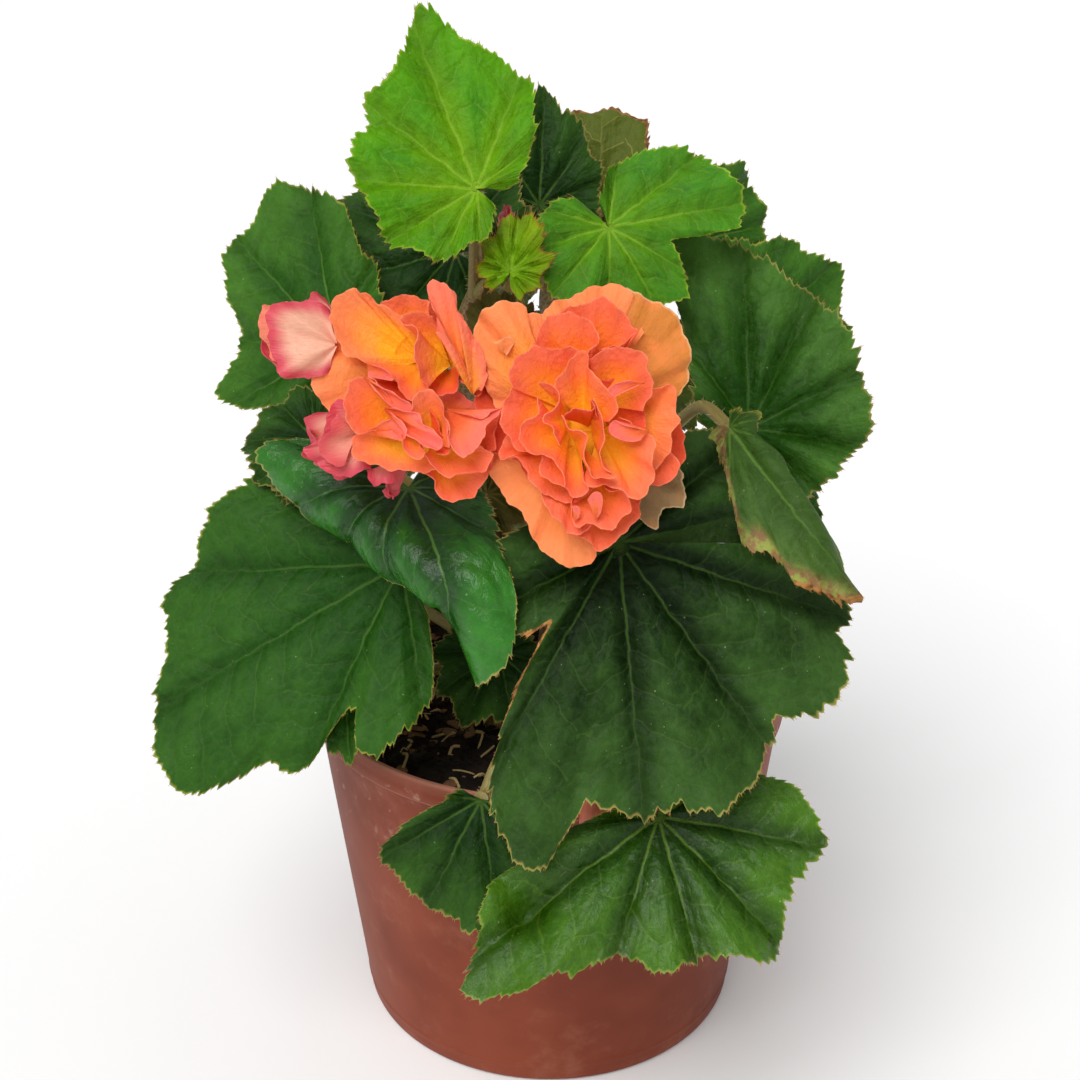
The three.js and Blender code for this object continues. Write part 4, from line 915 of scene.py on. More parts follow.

# The petals of each bloom, as (look, base, margin); rows with the look shade or deep are dark
# sheets of painted shade between petals. A place is (across, up, out) from the bloom's centre,
# and out is along its axis.
RIGHT_PETALS = [
    ("tan", (3, 4, -2), [
        (2, 32.5, -4), (8, 32, -4), (11, 31.3, -4), (15, 29.5, -4), (20, 27, -4), (22.5, 22, -4),
        (24, 16, -4), (23, 11, -4.5), (20.5, 7.5, -5), (14, 4, -4),
    ]),
    ("peach", (1, 4, -1), [
        (-9.5, 20, -3), (-9.5, 26.5, -3.5), (-4, 30, -3.5), (1, 32, -3), (6, 33, -3), (10, 31.3, -3),
        (12, 27, -3), (13, 22, -3),
    ]),
    ("spotted", (-4, 2, -2), [
        (-20, 5, -4), (-23, 11, -4), (-25.5, 18, -4), (-25, 24, -4), (-22, 27.5, -3), (-18, 29, -3),
        (-14.5, 28.3, -3), (-13.4, 26.2, -3), (-9, 26.5, -3), (-6, 22, -3),
    ]),
    ("peach", (-4, -3, -3), [
        (-20.5, -5, -4), (-21, -10, -4), (-18, -15, -4), (-13, -20, -3), (-11, -25, -3), (-7, -29, -3),
        (-1, -31, -3), (2.5, -29.5, -3), (3, -26, -3), (2, -18, -3),
    ]),
    ("wilted", (8, -6, -4), [
        (22.5, -6, -5), (22.6, -11, -5), (23.5, -16, -5), (19, -17.6, -5), (16, -22, -5),
        (12.5, -19.5, -5), (9, -17, -5),
    ]),
    ("shade", (5, 0, -2), [
        (20, 6, -3), (22, 1.5, -3), (22.7, -2, -3), (23, -5, -3), (21, -8.6, -3), (16, -9, -3),
    ]),
    ("shade", (-4, 0, -1), [
        (-16, 6.5, 0), (-19, 4.5, 0), (-21.5, 0, -1), (-21.5, -4, -1), (-18, -6.2, 0), (-15, -6.8, 0),
        (-12, -11, 0), (-9, -12, 0),
    ]),
    ("shade", (-4, 2, -3), [
        (-14, 12, -5), (-22, 11, -6), (-25, 6, -6), (-23, 1, -6), (-16, 0, -4),
    ]),
    ("shade", (1, 1, 3), [
        (2, 12, 5), (9, 10.5, 5), (13, 5, 5), (13, -3, 5), (8, -7, 5),
    ]),
    ("scar", (-18.5, 17.5, -2.2), [
        (-20.6, 19.6, -1.8), (-19, 20, -1.4), (-17.3, 21.2, -1.6), (-15.2, 20.4, -1.4),
        (-16.3, 18.8, -1.2), (-17.6, 16.8, -1.6),
    ]),
    ("coral", (1, 6, 2), [
        (-6, 25.5, 2), (-2, 28, 2.6), (1, 28.4, 3), (4, 29.6, 3), (7, 27.5, 3.4), (10, 24, 3),
        (12, 21.5, 3.5), (9, 19.7, 4), (3, 18, 5),
    ]),
    ("coral", (-1, 6, 4), [
        (-12, 16, 6), (-10.3, 20.5, 6), (-8.5, 25, 6), (-4, 25.6, 6.6), (0, 25, 6), (2.1, 22, 6.5),
        (2.6, 19.5, 7), (0.8, 16, 7),
    ]),
    ("coral", (-3, 4, 4), [
        (-1, 17, 8), (-4, 18.3, 8.6), (-7, 17.8, 8), (-11.5, 18, 8.8), (-15, 16, 8), (-16.3, 12.5, 8.6),
        (-15.3, 9, 8),
    ]),
    ("coral", (-3, 3, 3), [
        (-14, 13, 7), (-16, 9, 7.6), (-17.8, 5, 7), (-18.6, 1.5, 7.6), (-17, -1, 7), (-14, -4.2, 7.4),
        (-10, -5.5, 7),
    ]),
    ("coral", (3, 5, 4), [
        (1, 15.8, 8), (3, 17, 8.6), (6, 18, 8), (10, 18.2, 8.6), (12.5, 17.3, 8), (14, 14, 8.4),
        (15.2, 10.5, 7.6), (14, 7.6, 7.5), (13, 4.5, 7),
    ]),
    ("peachy", (5, 2, 2), [
        (13.5, 10, 4), (16, 9.7, 4.8), (19, 9.8, 4), (20.7, 7.5, 4.8), (20.3, 4.8, 4.2), (21.1, 2.5, 4.8),
        (19.7, 0, 4.4), (19.3, -4, 4.5), (17, -7, 4.4), (14.5, -9, 4),
    ]),
    ("coral", (6, -1, 0), [
        (19, -3.5, 2), (20, -5.5, 2.7), (22, -8, 2.4), (20.5, -9.6, 2.5), (18, -11.5, 2.9),
        (15, -12.2, 2), (11, -12, 2),
    ]),
    ("coral", (2, -5, 1), [
        (13, -14, 2), (12.7, -18.5, 2.5), (10.5, -21.5, 3), (7, -25, 3), (4, -26.7, 3), (2.4, -24.8, 3.5),
        (-1, -24, 3), (-4, -22, 3),
    ]),
    ("coral", (-2, -5, 2), [
        (-10, -12, 5), (-8.3, -16, 5), (-6.5, -19, 5.6), (-4, -22, 5), (-0.5, -22.8, 5.5), (2, -21, 5.6),
        (3, -16, 6),
    ]),
    ("coral", (1, -6, 3), [
        (-2.4, -15, 7), (-2.2, -18.6, 7), (-1, -21, 7.5), (2, -20.8, 7), (5, -21.6, 7.8), (8, -20, 7.5),
        (10.6, -17, 7.5), (9, -13.6, 8), (5, -12.2, 8),
    ]),
    ("coral", (-3, -3, 3), [
        (-17, 0, 4.6), (-18.6, -5.8, 4), (-15, -6.2, 5), (-12.4, -9, 5), (-11.2, -12.3, 5.6),
        (-7, -14.6, 5), (-4, -15.8, 6), (0, -15, 6), (3, -12, 6),
    ]),
    ("coral", (-1, -3, 5), [
        (-9.3, -5, 9), (-9.6, -8.6, 9.4), (-7, -11, 9), (-4, -12.7, 9.8), (-0.5, -14.4, 9.6),
        (1.4, -13, 10), (0, -9, 10),
    ]),
    ("golden", (3, 0, 5), [
        (7.5, 3, 10), (12, 0.5, 9.5), (15.4, -2, 9.5), (15.4, -6, 10.2), (15.6, -9, 9.5), (14, -12.8, 10),
        (11.3, -15.4, 9.5), (9, -13, 10.4), (6, -12, 10), (2.5, -12.3, 10.6), (0, -10.6, 10),
    ]),
    ("coral", (-3, 0, 6), [
        (-10.4, 7, 11), (-10, 3.3, 11.4), (-14.2, 1.2, 10.5), (-13.9, -1, 10.8), (-12.6, -3.6, 10.5),
        (-10, -5.6, 10.9), (-7, -5.8, 11.2), (-5.6, -8, 11), (-4, -9.3, 11.4), (-4.4, -12, 10.5),
    ]),
    ("golden", (0, 1, 6), [
        (-7, 8.5, 11), (-5.6, 11.7, 11), (-4, 14, 11.5), (-2, 16.2, 11), (0, 16.7, 11.4),
        (1.6, 13.6, 11.4), (3, 11.2, 12), (5, 9, 12), (7.2, 7, 12), (7, 4.5, 12.6), (5.5, 2.3, 12),
    ]),
    ("coral", (-3, 2, 7), [
        (-9.8, 9.8, 12), (-7.5, 10.5, 12.4), (-6, 9, 12.8), (-5.4, 6, 12.5), (-7.3, 4, 13),
        (-8.8, 2, 13.2), (-6.6, 0.4, 13.2), (-6.6, -1.6, 13), (-5, -3.2, 12.6),
    ]),
    ("shade", (1, 1, 7), [
        (-4.6, 2.5, 12), (-3.2, 3.7, 13), (-2, 5.1, 13.6), (0, 4.7, 14), (2.2, 4.9, 14), (1.7, 6.8, 13.6),
        (3.4, 3, 13),
    ]),
    ("inner", (2, -1, 7), [
        (1.8, 7, 12.6), (3.4, 4.4, 13.6), (4.5, 1, 14.2), (4.1, -2, 14), (3.4, -5, 14.3), (4.5, -7, 13.8),
        (6.2, -9, 13),
    ]),
    ("inner", (-2, -2, 7), [
        (-5, 3.2, 13), (-3, 0.8, 14), (-0.6, 0.1, 14.6), (0.8, -1.3, 14.5), (-0.2, -3, 14.8),
        (0.5, -5.6, 14.5), (1.6, -8, 14.3), (2.4, -10, 13.6), (5, -10.6, 13), (7.1, -9.5, 12.6),
    ]),
    ("pink", (13.3, 10.6, 9.5), [
        (10, 11.1, 10.2), (7, 10.2, 10.7), (4.8, 8.6, 11), (5.6, 7.2, 11), (8, 8.3, 10.6),
        (10.5, 9.5, 10.2),
    ]),
    ("pink", (14.3, 0.2, 10), [
        (11, 0.8, 10.8), (8, 1.8, 11.2), (6.3, 2.4, 11.4), (5.4, 0.5, 11.4), (7, -1.4, 11.2),
        (10, -2.4, 11), (12.5, -1.8, 10.6),
    ]),
    ("pink", (2.8, -19.6, 8.4), [
        (1, -15, 9), (2, -13.4, 9.4), (3.7, -13.5, 9.4), (4.4, -15.6, 9.2), (3.9, -18, 8.9),
    ]),
    ("pink", (-1.7, -20, 7.8), [
        (-2.4, -16.2, 8.2), (-1.3, -16.3, 8.5), (-0.6, -17.5, 8.4), (-0.8, -19, 8.1),
    ]),
]
UPPER_PETALS = [
    ("peach", (-2, -2, -2), [
        (-12, 9, -1.5), (-19, 9.4, -1.5), (-21.5, 6.5, -1.5), (-23.3, 3, -1.2), (-24.6, -1.5, -1.5),
        (-24.1, -6, -1.2), (-22.5, -9.5, -1.5), (-20.3, -12, -1.5), (-15, -12.5, -1), (-8, -9, -1),
    ]),
    ("golden", (0, 1, -1), [
        (-10, 10, -1), (-7.5, 12.6, -1), (-5, 13.9, -0.6), (-2, 14.1, -1), (1, 13.5, -0.6), (3.8, 12, -1),
        (5.5, 7, -1),
    ]),
    ("gold", (1.5, -1, 1), [
        (-7, -3.5, 3.4), (-11, -1.6, 4), (-15, -0.4, 4.4), (-17, 2.5, 4), (-18.8, 7, 3.8), (-19, 11, 3.2),
        (-17.5, 14, 3.4), (-15.5, 15.3, 3), (-13.8, 15.5, 3.5), (-13, 14, 3), (-11, 14.1, 3.4),
        (-9, 12.7, 3), (-7.5, 11.5, 3.6), (-4, 9.7, 3), (-1, 8, 2.5), (1.5, 6, 2),
    ]),
    ("deep", (-2, -6, 0), [
        (-11, -4.6, 2), (-8, -7.6, 2.5), (-5, -9.8, 2.5), (-1, -10.8, 2.5),
    ]),
    ("rose", (6, -12, -2), [
        (5, -9, -1), (8.5, -8.3, -0.8), (11, -9, -1), (13.5, -11, -0.8), (16.2, -13.5, -1),
        (13, -14.4, -1),
    ]),
    ("shade", (7, -3, -1), [
        (2.4, -5, 2), (2.4, -8.5, 2), (6, -8.9, 2.3), (8.5, -7.9, 2.5), (10, -5, 3), (9.5, -2, 3),
    ]),
    ("coral", (1, -2, 2), [
        (-11, -1.5, 4.6), (-9.5, -3.4, 5), (-7, -4.5, 5), (-5, -5.5, 5.3), (-3.5, -7.6, 5),
        (-1.6, -10, 5.2), (-0.3, -10.9, 5), (0.6, -9, 5.3), (2.3, -8, 5), (2.6, -4.5, 4.6),
    ]),
    ("golden", (8, -3, 0), [
        (3, 8, 4.5), (3.4, 12, 5), (6, 15, 4.6), (8.5, 11.5, 4.6), (11.3, 6.5, 4.8), (13.6, 2, 5),
        (15.2, -3, 5), (14.8, -7.5, 4.6), (13.4, -9.4, 4.4), (11.8, -7, 3.4), (10, -6, 2.4),
    ]),
    ("golden", (7.8, -2, 1), [
        (2.4, -7.4, 6), (1, -5, 6.5), (0, -2, 7), (-0.4, 1, 7.2), (0.4, 4, 7), (-0.6, 6, 7.2),
        (-2.8, 7.9, 6.5), (-1, 9.4, 6.2), (2, 9.8, 5.8), (4.5, 8.5, 5),
    ]),
    ("pinched", (12.6, -9, 5), [
        (15, -8, 6), (15.9, -3, 6.6), (14.1, 2, 6.8), (11.6, 6.6, 6.6), (9.2, 11, 6.2), (7.7, 15.5, 5.8),
        (5, 16.7, 5.6), (2.9, 15.5, 5.8), (3.1, 12, 6.2), (3.6, 9.3, 6.8), (5.5, 6, 7.2), (8, 2.5, 7.4),
        (10.6, -1.5, 7.2), (12, -5.5, 6.6),
    ]),
    ("pink", (-11.2, -1.4, 5), [
        (-8.5, -2.4, 6), (-6, -4, 6.3), (-5.1, -5.4, 6.1), (-7.5, -5.4, 5.8), (-9.5, -5, 5.6),
        (-11, -4.4, 5.3),
    ]),
]
LOWER_PETALS = [
    ("coral", (1, -4, -1), [
        (-1, -8.6, 1), (1.7, -10.8, 0.8), (2.5, -13, 0), (4, -15, 0.3), (6.3, -16, 0), (9, -15.2, 0.4),
        (11.5, -14, 0), (13.5, -11.5, 0.6), (15, -9, 1), (15.6, -6, 1.5),
    ]),
    ("shade", (8, 0, 1), [
        (17, 5, 5), (16.3, 2, 4.6), (16, -1, 4.2), (15.9, -4.5, 3.8), (12, -5.4, 3.6),
    ]),
    ("coral", (2, -2, 3), [
        (0.2, -5, 6), (1.5, -7.5, 5.6), (3.5, -9, 5.2), (6, -10, 5.4), (9, -9.5, 5), (12, -9, 5.3),
        (14.5, -8, 5), (15.6, -5.3, 4.8), (12.5, -3.4, 5.2), (8, -3, 6),
    ]),
    ("coral", (-3, 2, 2), [
        (-8, 0, 5), (-12, 0, 5.4), (-15.3, 0.5, 6), (-17, 3.5, 6.3), (-17.2, 6.5, 6), (-16.8, 9, 6.3),
        (-15.5, 11.7, 6), (-13.2, 12.9, 6.2), (-11.2, 11.7, 6.4), (-9.3, 9.6, 6.6), (-6.5, 7, 6.6),
    ]),
    ("golden", (-3, -1, 2), [
        (-11, 0.9, 4.4), (-15.4, -0.5, 4.2), (-16, -3.2, 4.4), (-15, -5.7, 4), (-13, -7.1, 4.3),
        (-10, -7.2, 3.8), (-7, -8.4, 3.9), (-3, -8.6, 3.2), (0.6, -9.2, 2.8), (3, -8, 3),
    ]),
    ("coral", (-2, 1, 5), [
        (-4.8, -0.6, 7.4), (-4.3, -4, 7.6), (-2, -5.9, 7.6), (-0.2, -5.4, 8), (0.5, -4.2, 8.4),
        (-0.4, -3, 8.6), (0.8, -1.2, 8.2),
    ]),
    ("shade", (1, 0, 4), [
        (-2.4, 5, 7), (0, 5.7, 7.2), (2.5, 3.7, 7.6), (4, 0.5, 8), (5, -2, 8), (5.8, -4.8, 8),
        (3, -5.2, 8),
    ]),
    ("golden", (2.5, -3, 4), [
        (-2.4, 4.4, 9), (-2, 7.5, 9.5), (-0.5, 9.4, 9.5), (1.5, 9.1, 9.6), (3.2, 7.7, 9.9),
        (4.6, 5.4, 10.1), (5.3, 3, 10.2), (5.6, 0, 10), (6, -3.6, 9.6),
    ]),
    ("rose", (5, 4.9, 8.4), [
        (9, 3.6, 8.8), (13, 3.2, 8.6), (17.5, 4.9, 7.8), (15.3, 2.4, 8.4), (13, -1.8, 8.8),
        (11.4, -4.2, 9), (9.3, -6.1, 9.2), (7.6, -5, 9.6), (6.2, -2.8, 10), (5.5, 0.6, 10.3),
    ]),
    ("rose", (-12.9, 12.4, 6.6), [
        (-9, 10.2, 7.4), (-5.5, 7.9, 7.8), (-2.5, 6.5, 7.7), (-2.1, 4.1, 7.8), (-5, 4.3, 7.8),
        (-8, 6.6, 7.6), (-10.5, 9.4, 7.1),
    ]),
    ("rose", (-12.5, 0.3, 5.2), [
        (-9, 2.7, 6.6), (-6, 3.4, 7.2), (-4.3, 1.4, 7.5), (-4.6, -2.4, 7.2), (-5.3, -1, 7),
        (-7, 0.5, 6.5),
    ]),
    ("rolled", (-8.4, 5.4, 8.2), [
        (-6, 5.7, 9.1), (-3, 4.1, 9.8), (0, 2.3, 10.1), (2.8, 0.6, 10.2), (4, -1.5, 10.1),
        (3.6, -4.5, 9.6), (1.5, -3.9, 9.7), (-1, -1.9, 9.8), (-3.5, 0.6, 9.6), (-6.3, 3.2, 9.1),
    ]),
]

BLOOMS = [
    {
        "name": "bloom_right", "centre": [7, -86, 212], "axis": [-0.03, -0.94, 0.33],
        "core": [6.5, 4, 7], "petals": RIGHT_PETALS,
    },
    {
        "name": "bloom_left_upper", "centre": [-31, -72, 225], "axis": [0.05, -0.94, 0.34],
        "core": [5.5, 3.5, 1], "petals": UPPER_PETALS,
    },
    {
        "name": "bloom_left_lower", "centre": [-29, -84, 211], "axis": [0.05, -0.94, 0.34],
        "core": [5, 3, 4], "petals": LOWER_PETALS,
    },
]

# How strongly a petal shows each colour, how deep it is cupped and how strongly it ruffles
PETAL_LOOKS = {
    "coral": {"warm": 0.8, "pink": 0.1},
    "peachy": {"warm": 0.9, "pale": 0.5},
    "golden": {"warm": 1.1, "pale": 0.25, "pink": 0.1},
    "inner": {"warm": 0.6, "pale": 0.15},
    # shade and deep are dark sheets put where there is only shade between petals: painted shade
    "shade": {"deep": 0.9, "warm": 0.3},
    "deep": {"deep": 1.0},
    "rose": {"pink": 0.8, "pale": 0.3},
    "pink": {"pale": 0.4, "pink": 1.0, "ruffle": 0.5},
    "rolled": {"pink": 1.0, "pale": 0.2, "ruffle": 1.8},
    "gold": {"pale": 0.8, "warm": 1.6},
    "peach": {"pale": 0.9, "warm": 0.35, "old": 0.04, "cup": -0.1},
    "spotted": {"pale": 0.8, "warm": 0.8, "old": 0.1, "cup": -0.1},
    "tan": {"pale": 0.8, "warm": 0.5, "old": 0.42, "cup": -0.1},
    "scar": {"pale": 1.0, "old": 0.14, "ruffle": 0.6, "cup": 0.0},
    "wilted": {"old": 0.95, "ruffle": 2.0, "cup": 0.0},
    "pinched": {"pale": 0.8, "warm": 0.4, "pink": 0.6, "ruffle": 1.8, "cup": -0.1},
}

# Loose outer petals of two buds, as (warm, base, margin), with places from a centre of their own
LEFT_BUD_SHEETS = [
    (1.0, (-20, 5, -3), [
        (-28, 13, -4), (-33, 12.6, -3.4), (-35.6, 12.2, -4), (-36, 8, -3.6), (-34.8, 3.5, -4),
        (-32, -1.5, -3.6), (-28, -3.5, -4),
    ]),
    (0.0, (-18, 3, 0), [
        (-19.5, 11.5, -1), (-24.5, 13.4, -0.5), (-29, 12.8, 0), (-33.4, 11.8, -0.5), (-33.8, 7, 0.4),
        (-33, 2, 0), (-31.2, -3.2, 0.3), (-28, -4.4, -0.4), (-24.2, -4.4, 0), (-20, -3, -1),
    ]),
    (0.0, (-18, 10, -5), [
        (-24.6, 12, -4.4), (-24.3, 15.8, -4.8), (-22, 14.6, -4.2), (-19.6, 11.6, -4.6),
    ]),
]
CRIMSON_BUD_SHEETS = [
    (0.0, (-12.5, -1, -2), [
        (-14.5, 7, 0), (-17.8, 7.6, 0.6), (-21, 6, 0), (-22.4, 0, 1), (-25, -1.9, 0.4), (-27, -3, 0),
        (-26, -5.6, 0.6), (-23.6, -6.8, 0), (-21.8, -8.8, 0.5), (-18.7, -9.7, 0), (-15.3, -9.1, 0.6),
        (-12, -8, 0),
    ]),
    (0.2, (-15, 0, -1), [
        (-19, 4.5, 2), (-21, 1, 2.6), (-23.5, -2.5, 2), (-22, -6, 2.6), (-18, -7.5, 2.2),
    ]),
    (0.0, (-9, -7, -1), [
        (-13, -8.2, 0), (-12.4, -10.6, 0.8), (-11, -12, 0.2), (-9, -11.4, 1), (-7, -11, 0.2),
        (-6.6, -9, 0),
    ]),
]

# A bud has a body of [radius, height] along its axis, wrapped petals and sometimes loose sheets
BUDS = [
    {
        "name": "bud_left", "centre": [-50, -64, 226], "axis": [-0.99, -0.05, 0.03],
        "body": [[0, -3], [3, -3], [5.5, 2], [6.2, 8], [4.5, 12.5], [0, 13.5]], "cream": 1.0,
        "wrapped": {"count": 3, "length": 19, "half": 9.5, "from": 5, "open": 17},
        "sheets": {
            "centre": [-31, -72, 225], "axis": [0.05, -0.94, 0.34],
            "petals": LEFT_BUD_SHEETS,
        },
    },
    {
        "name": "bud_crimson", "centre": [-44, -68, 210], "axis": [-0.7, -0.45, -0.55],
        "body": [[0, -3], [2, -3], [3.4, 1], [3, 7], [0, 9]],
        "wrapped": {"count": 3, "length": 17, "half": 8.5, "from": 3, "open": 30, "ruffle": 2.2},
        "cream": 0.6,
        "sheets": {
            "centre": [-29, -84, 211], "axis": [0.05, -0.94, 0.34],
            "petals": CRIMSON_BUD_SHEETS,
        },
    },
    {
        "name": "bud_small", "centre": [-36, -76, 198], "axis": [-0.3, -0.7, -0.6],
        "body": [[0, -2.5], [1.4, -2.5], [2, 0], [1.6, 4], [0, 5]],
        "wrapped": {"count": 2, "length": 7, "half": 2.4, "from": 1.2, "open": 16},
    },
    {
        "name": "bud_top", "centre": [-11, -28, 245], "axis": [0, -0.4, 0.9],
        "body": [[0, -2.5], [1.4, -2.5], [2.4, 1], [2, 4], [0, 5.2]],
        "wrapped": {"count": 2, "length": 7, "half": 2.6, "from": 1.4, "open": 12},
    },
    {
        "name": "bud_low", "centre": [11, -84, 113], "axis": [0, -0.25, -0.96], "warm": 1.0, "cream": 0.5,
        "body": [[0, -3], [2, -3], [3.8, 1], [4, 6], [0, 9]],
        "wrapped": {"count": 3, "length": 12.5, "half": 5, "from": 2.4, "open": 14},
    },
]

# A stalk is [what it carries, height on the stem, points on its way]
STEMS = [
    {
        "name": "stem_left", "radius": 4.2, "foot": [-16, -10],
        "route": [[-18, -12, 118], [-24, -16, 160], [-24, -14, 200], [-19, -10, 228]],
        "stalks": [
            ["leaf_top", 222], ["leaf_left_high", 180], ["leaf_back_left", 196],
            ["leaf_left_small", 160], ["leaf_left_big", 138], ["leaf_glossy", 166],
            ["leaf_young", 224], ["leaf_inner_high", 208], ["leaf_left_under", 112],
            ["leaf_inner_small", 152], ["leaf_far_6", 118], ["leaf_far_9", 146], ["bloom_left_upper", 206],
            ["bloom_left_lower", 196], ["bud_left", 204], ["bud_crimson", 196], ["bud_small", 190],
            ["bud_top", 226],
        ],
    },
    {
        "name": "stem_right", "radius": 4.2, "foot": [18, -8],
        "route": [[20, -10, 120], [25, -8, 160], [24, -4, 205], [18, -2, 232]],
        "stalks": [
            ["leaf_top_right", 226], ["leaf_front_big", 148], ["leaf_right_big", 172],
            ["leaf_curled", 186, [31, -22, 190], [38, -48, 205]], ["leaf_right_fragment", 150],
            ["leaf_back_right_high", 208], ["leaf_back_right", 188], ["leaf_far_1", 130],
            ["leaf_far_8", 126], ["bloom_right", 200],
        ],
    },
    {
        "name": "stem_back", "radius": 4, "foot": [0, 20],
        "route": [[2, 24, 120], [4, 28, 165], [2, 24, 200], [-1, 21, 222]],
        "stalks": [
            ["leaf_back_top", 214], ["leaf_back_curled", 206], ["leaf_far_2", 172],
            ["leaf_far_3", 130], ["leaf_far_4", 190], ["leaf_far_5", 150], ["leaf_far_7", 108],
        ],
    },
    {
        "name": "stem_front", "radius": 3.4, "foot": [4, -34],
        "route": [[5, -37, 112], [6, -40, 126]],
        "stalks": [
            ["leaf_low_front", 118, [20, -68, 115]], ["leaf_over_pot", 112, [-13, -62, 113]],
            ["leaf_inner_low", 106], ["bud_low", 122],
        ],
    },
]


# Leaves
LEAF_RINGS = [
    (1, 1), (0.985, 1), (0.965, 1), (0.94, 2), (0.91, 2), (0.87, 2), (0.83, 2), (0.78, 2),
    (0.73, 2), (0.68, 2), (0.63, 2), (0.58, 2), (0.52, 4), (0.47, 4), (0.42, 4), (0.37, 4),
    (0.32, 4), (0.27, 8), (0.22, 8), (0.18, 8), (0.14, 16), (0.1, 16), (0.05, 16),
]
LEAF_THICKNESS = 0.8
VEIN_STEP = 34
TOOTH_PITCH = 2.3
BIG_TOOTH_PITCH = 7.7
SMALL_RADIUS = 9
HAIR_SPACING = 0.9
HAIR_HALF_WIDTH = 0.09
HAIR_HEIGHT = 0.16


def saw(value, lean):
    """A row of teeth, one from each whole number to the next."""
    part = np.mod(value, 1)
    return np.minimum(part / lean, (1 - part) / (1 - lean))


def vein_angles(outline, random):
    """Where a leaf's main veins run, with one more beyond each end of its outline."""
    first, last = outline[0][0], outline[-1][0]
    angles = [a for a in range(-7 * VEIN_STEP, 7 * VEIN_STEP, VEIN_STEP) if first < a < last]
    veins = np.array(angles) + random.uniform(-4, 4, len(angles))
    return np.concatenate([[2 * veins[0] - veins[1]], veins, [2 * veins[-1] - veins[-2]]])


def teeth(leaf, angle, run):
    """How far the margin's teeth stand out, large ones with small ones on them."""
    big, small = leaf.get("teeth", (1.4, 1.1))
    lean = np.where(angle < 0, 0.75, 0.25)
    size = 1 + 0.4 * np.sin(run / 3.7 + 2 * np.sin(run / 11))
    large = big * size * (saw(run / BIG_TOOTH_PITCH + 0.5 * np.sin(run / 9.1), lean) - 0.4)
    return large + small * size * (saw(run / TOOTH_PITCH + 0.3 * np.sin(run / 6.1), lean) - 0.4)


def margin_band(ranges, angle, rim):
    """1 on stretches of the margin, each from one angle to another and so many mm deep."""
    found = np.zeros(len(angle))
    for start, stop, depth in ranges:
        along = smooth_step(start - 4, start + 3, angle) * smooth_step(stop + 4, stop - 3, angle)
        found = np.maximum(found, along * smooth_step(depth, 0.3 * depth, rim))
    return found


class LeafForm:
    """What the blade of a leaf and the hairs at its margin share."""

    def __init__(self, leaf, random):
        self.leaf = leaf
        self.outline = leaf["outline"]
        self.length = outline_run(self.outline)[1][-1]
        self.columns = 16 * max(8, round(self.length / TOOTH_PITCH * 4 / 16))
        self.angles = even_angles(self.outline, self.columns)
        self.phase = random.uniform(0, 6.28)
        self.veins = vein_angles(self.outline, random)

    def vein(self, angle):
        """A whole number on each main vein, and the rest between them."""
        return np.interp(angle, self.veins, np.arange(-1, len(self.veins) - 1))

    def height(self, angle, share, run):
        """Main veins lie in valleys with round pleats between them, and the margin ruffles."""
        pleat = self.leaf.get("pleat", 1.3) * smooth_step(0, 0.5, share)
        pleat = pleat * np.abs(np.sin(np.pi * self.vein(angle))) ** 0.8
        wave = np.sin(run / 2.9 + self.phase + np.sin(run / 9))
        return pleat + self.leaf.get("ruffle", 1.0) * share**5 * wave

    def place(self, angle, share, lift, factor):
        """Points of the leaf, and their places on it when it is laid flat."""
        reach = share * outline_radius(self.outline, angle) * factor
        points = blade_points(self.leaf, angle, share, lift, factor)
        return points, np.stack(polar(reach, angle), 1)


def add_blade(pile, form):
    """Both sides of a leaf with its toothed margin."""
    leaf = form.leaf
    column, share, faces, border = fan(form.columns, LEAF_RINGS)
    angle = form.angles[column]
    radius = outline_radius(form.outline, angle)
    run = form.length * column / form.columns
    rim = (1 - share) * radius
    x, y = polar(share * radius, angle)
    bulge = form.height(angle, share, run)
    for hill_x, hill_y, width, height in leaf.get("hills", []):
        bulge += height * np.exp(-((x - hill_x) ** 2 + (y - hill_y) ** 2) / width**2)
    grow = teeth(leaf, angle, run) * smooth_step(5, 0, rim)
    factor = 1 + grow / np.maximum(radius, SMALL_RADIUS)
    half = 0.5 * LEAF_THICKNESS * (1 - 0.5 * share**2)
    segment = np.clip(np.searchsorted(form.veins, angle) - 1, 0, len(form.veins) - 2)
    gap = np.radians(np.diff(form.veins)[segment])
    bands = {key: margin_band(leaf.get(key, []), angle, rim) for key in ("dry", "warm", "turned")}
    upper, flat = form.place(angle, share, bulge + half, factor)
    lower = form.place(angle, share, bulge - half, factor)[0]
    pile.add(
        np.concatenate([upper, lower]), thicken(faces, border, len(angle)), np.tile(flat, (2, 1)),
        {
            "vein": np.tile(form.vein(angle), 2), "span": np.tile(gap * share * radius, 2),
            "rim": np.tile(rim, 2), "side": np.repeat([1.0, 0.0], len(angle)),
            **{key: np.tile(band, 2) for key, band in bands.items()},
        },
    )


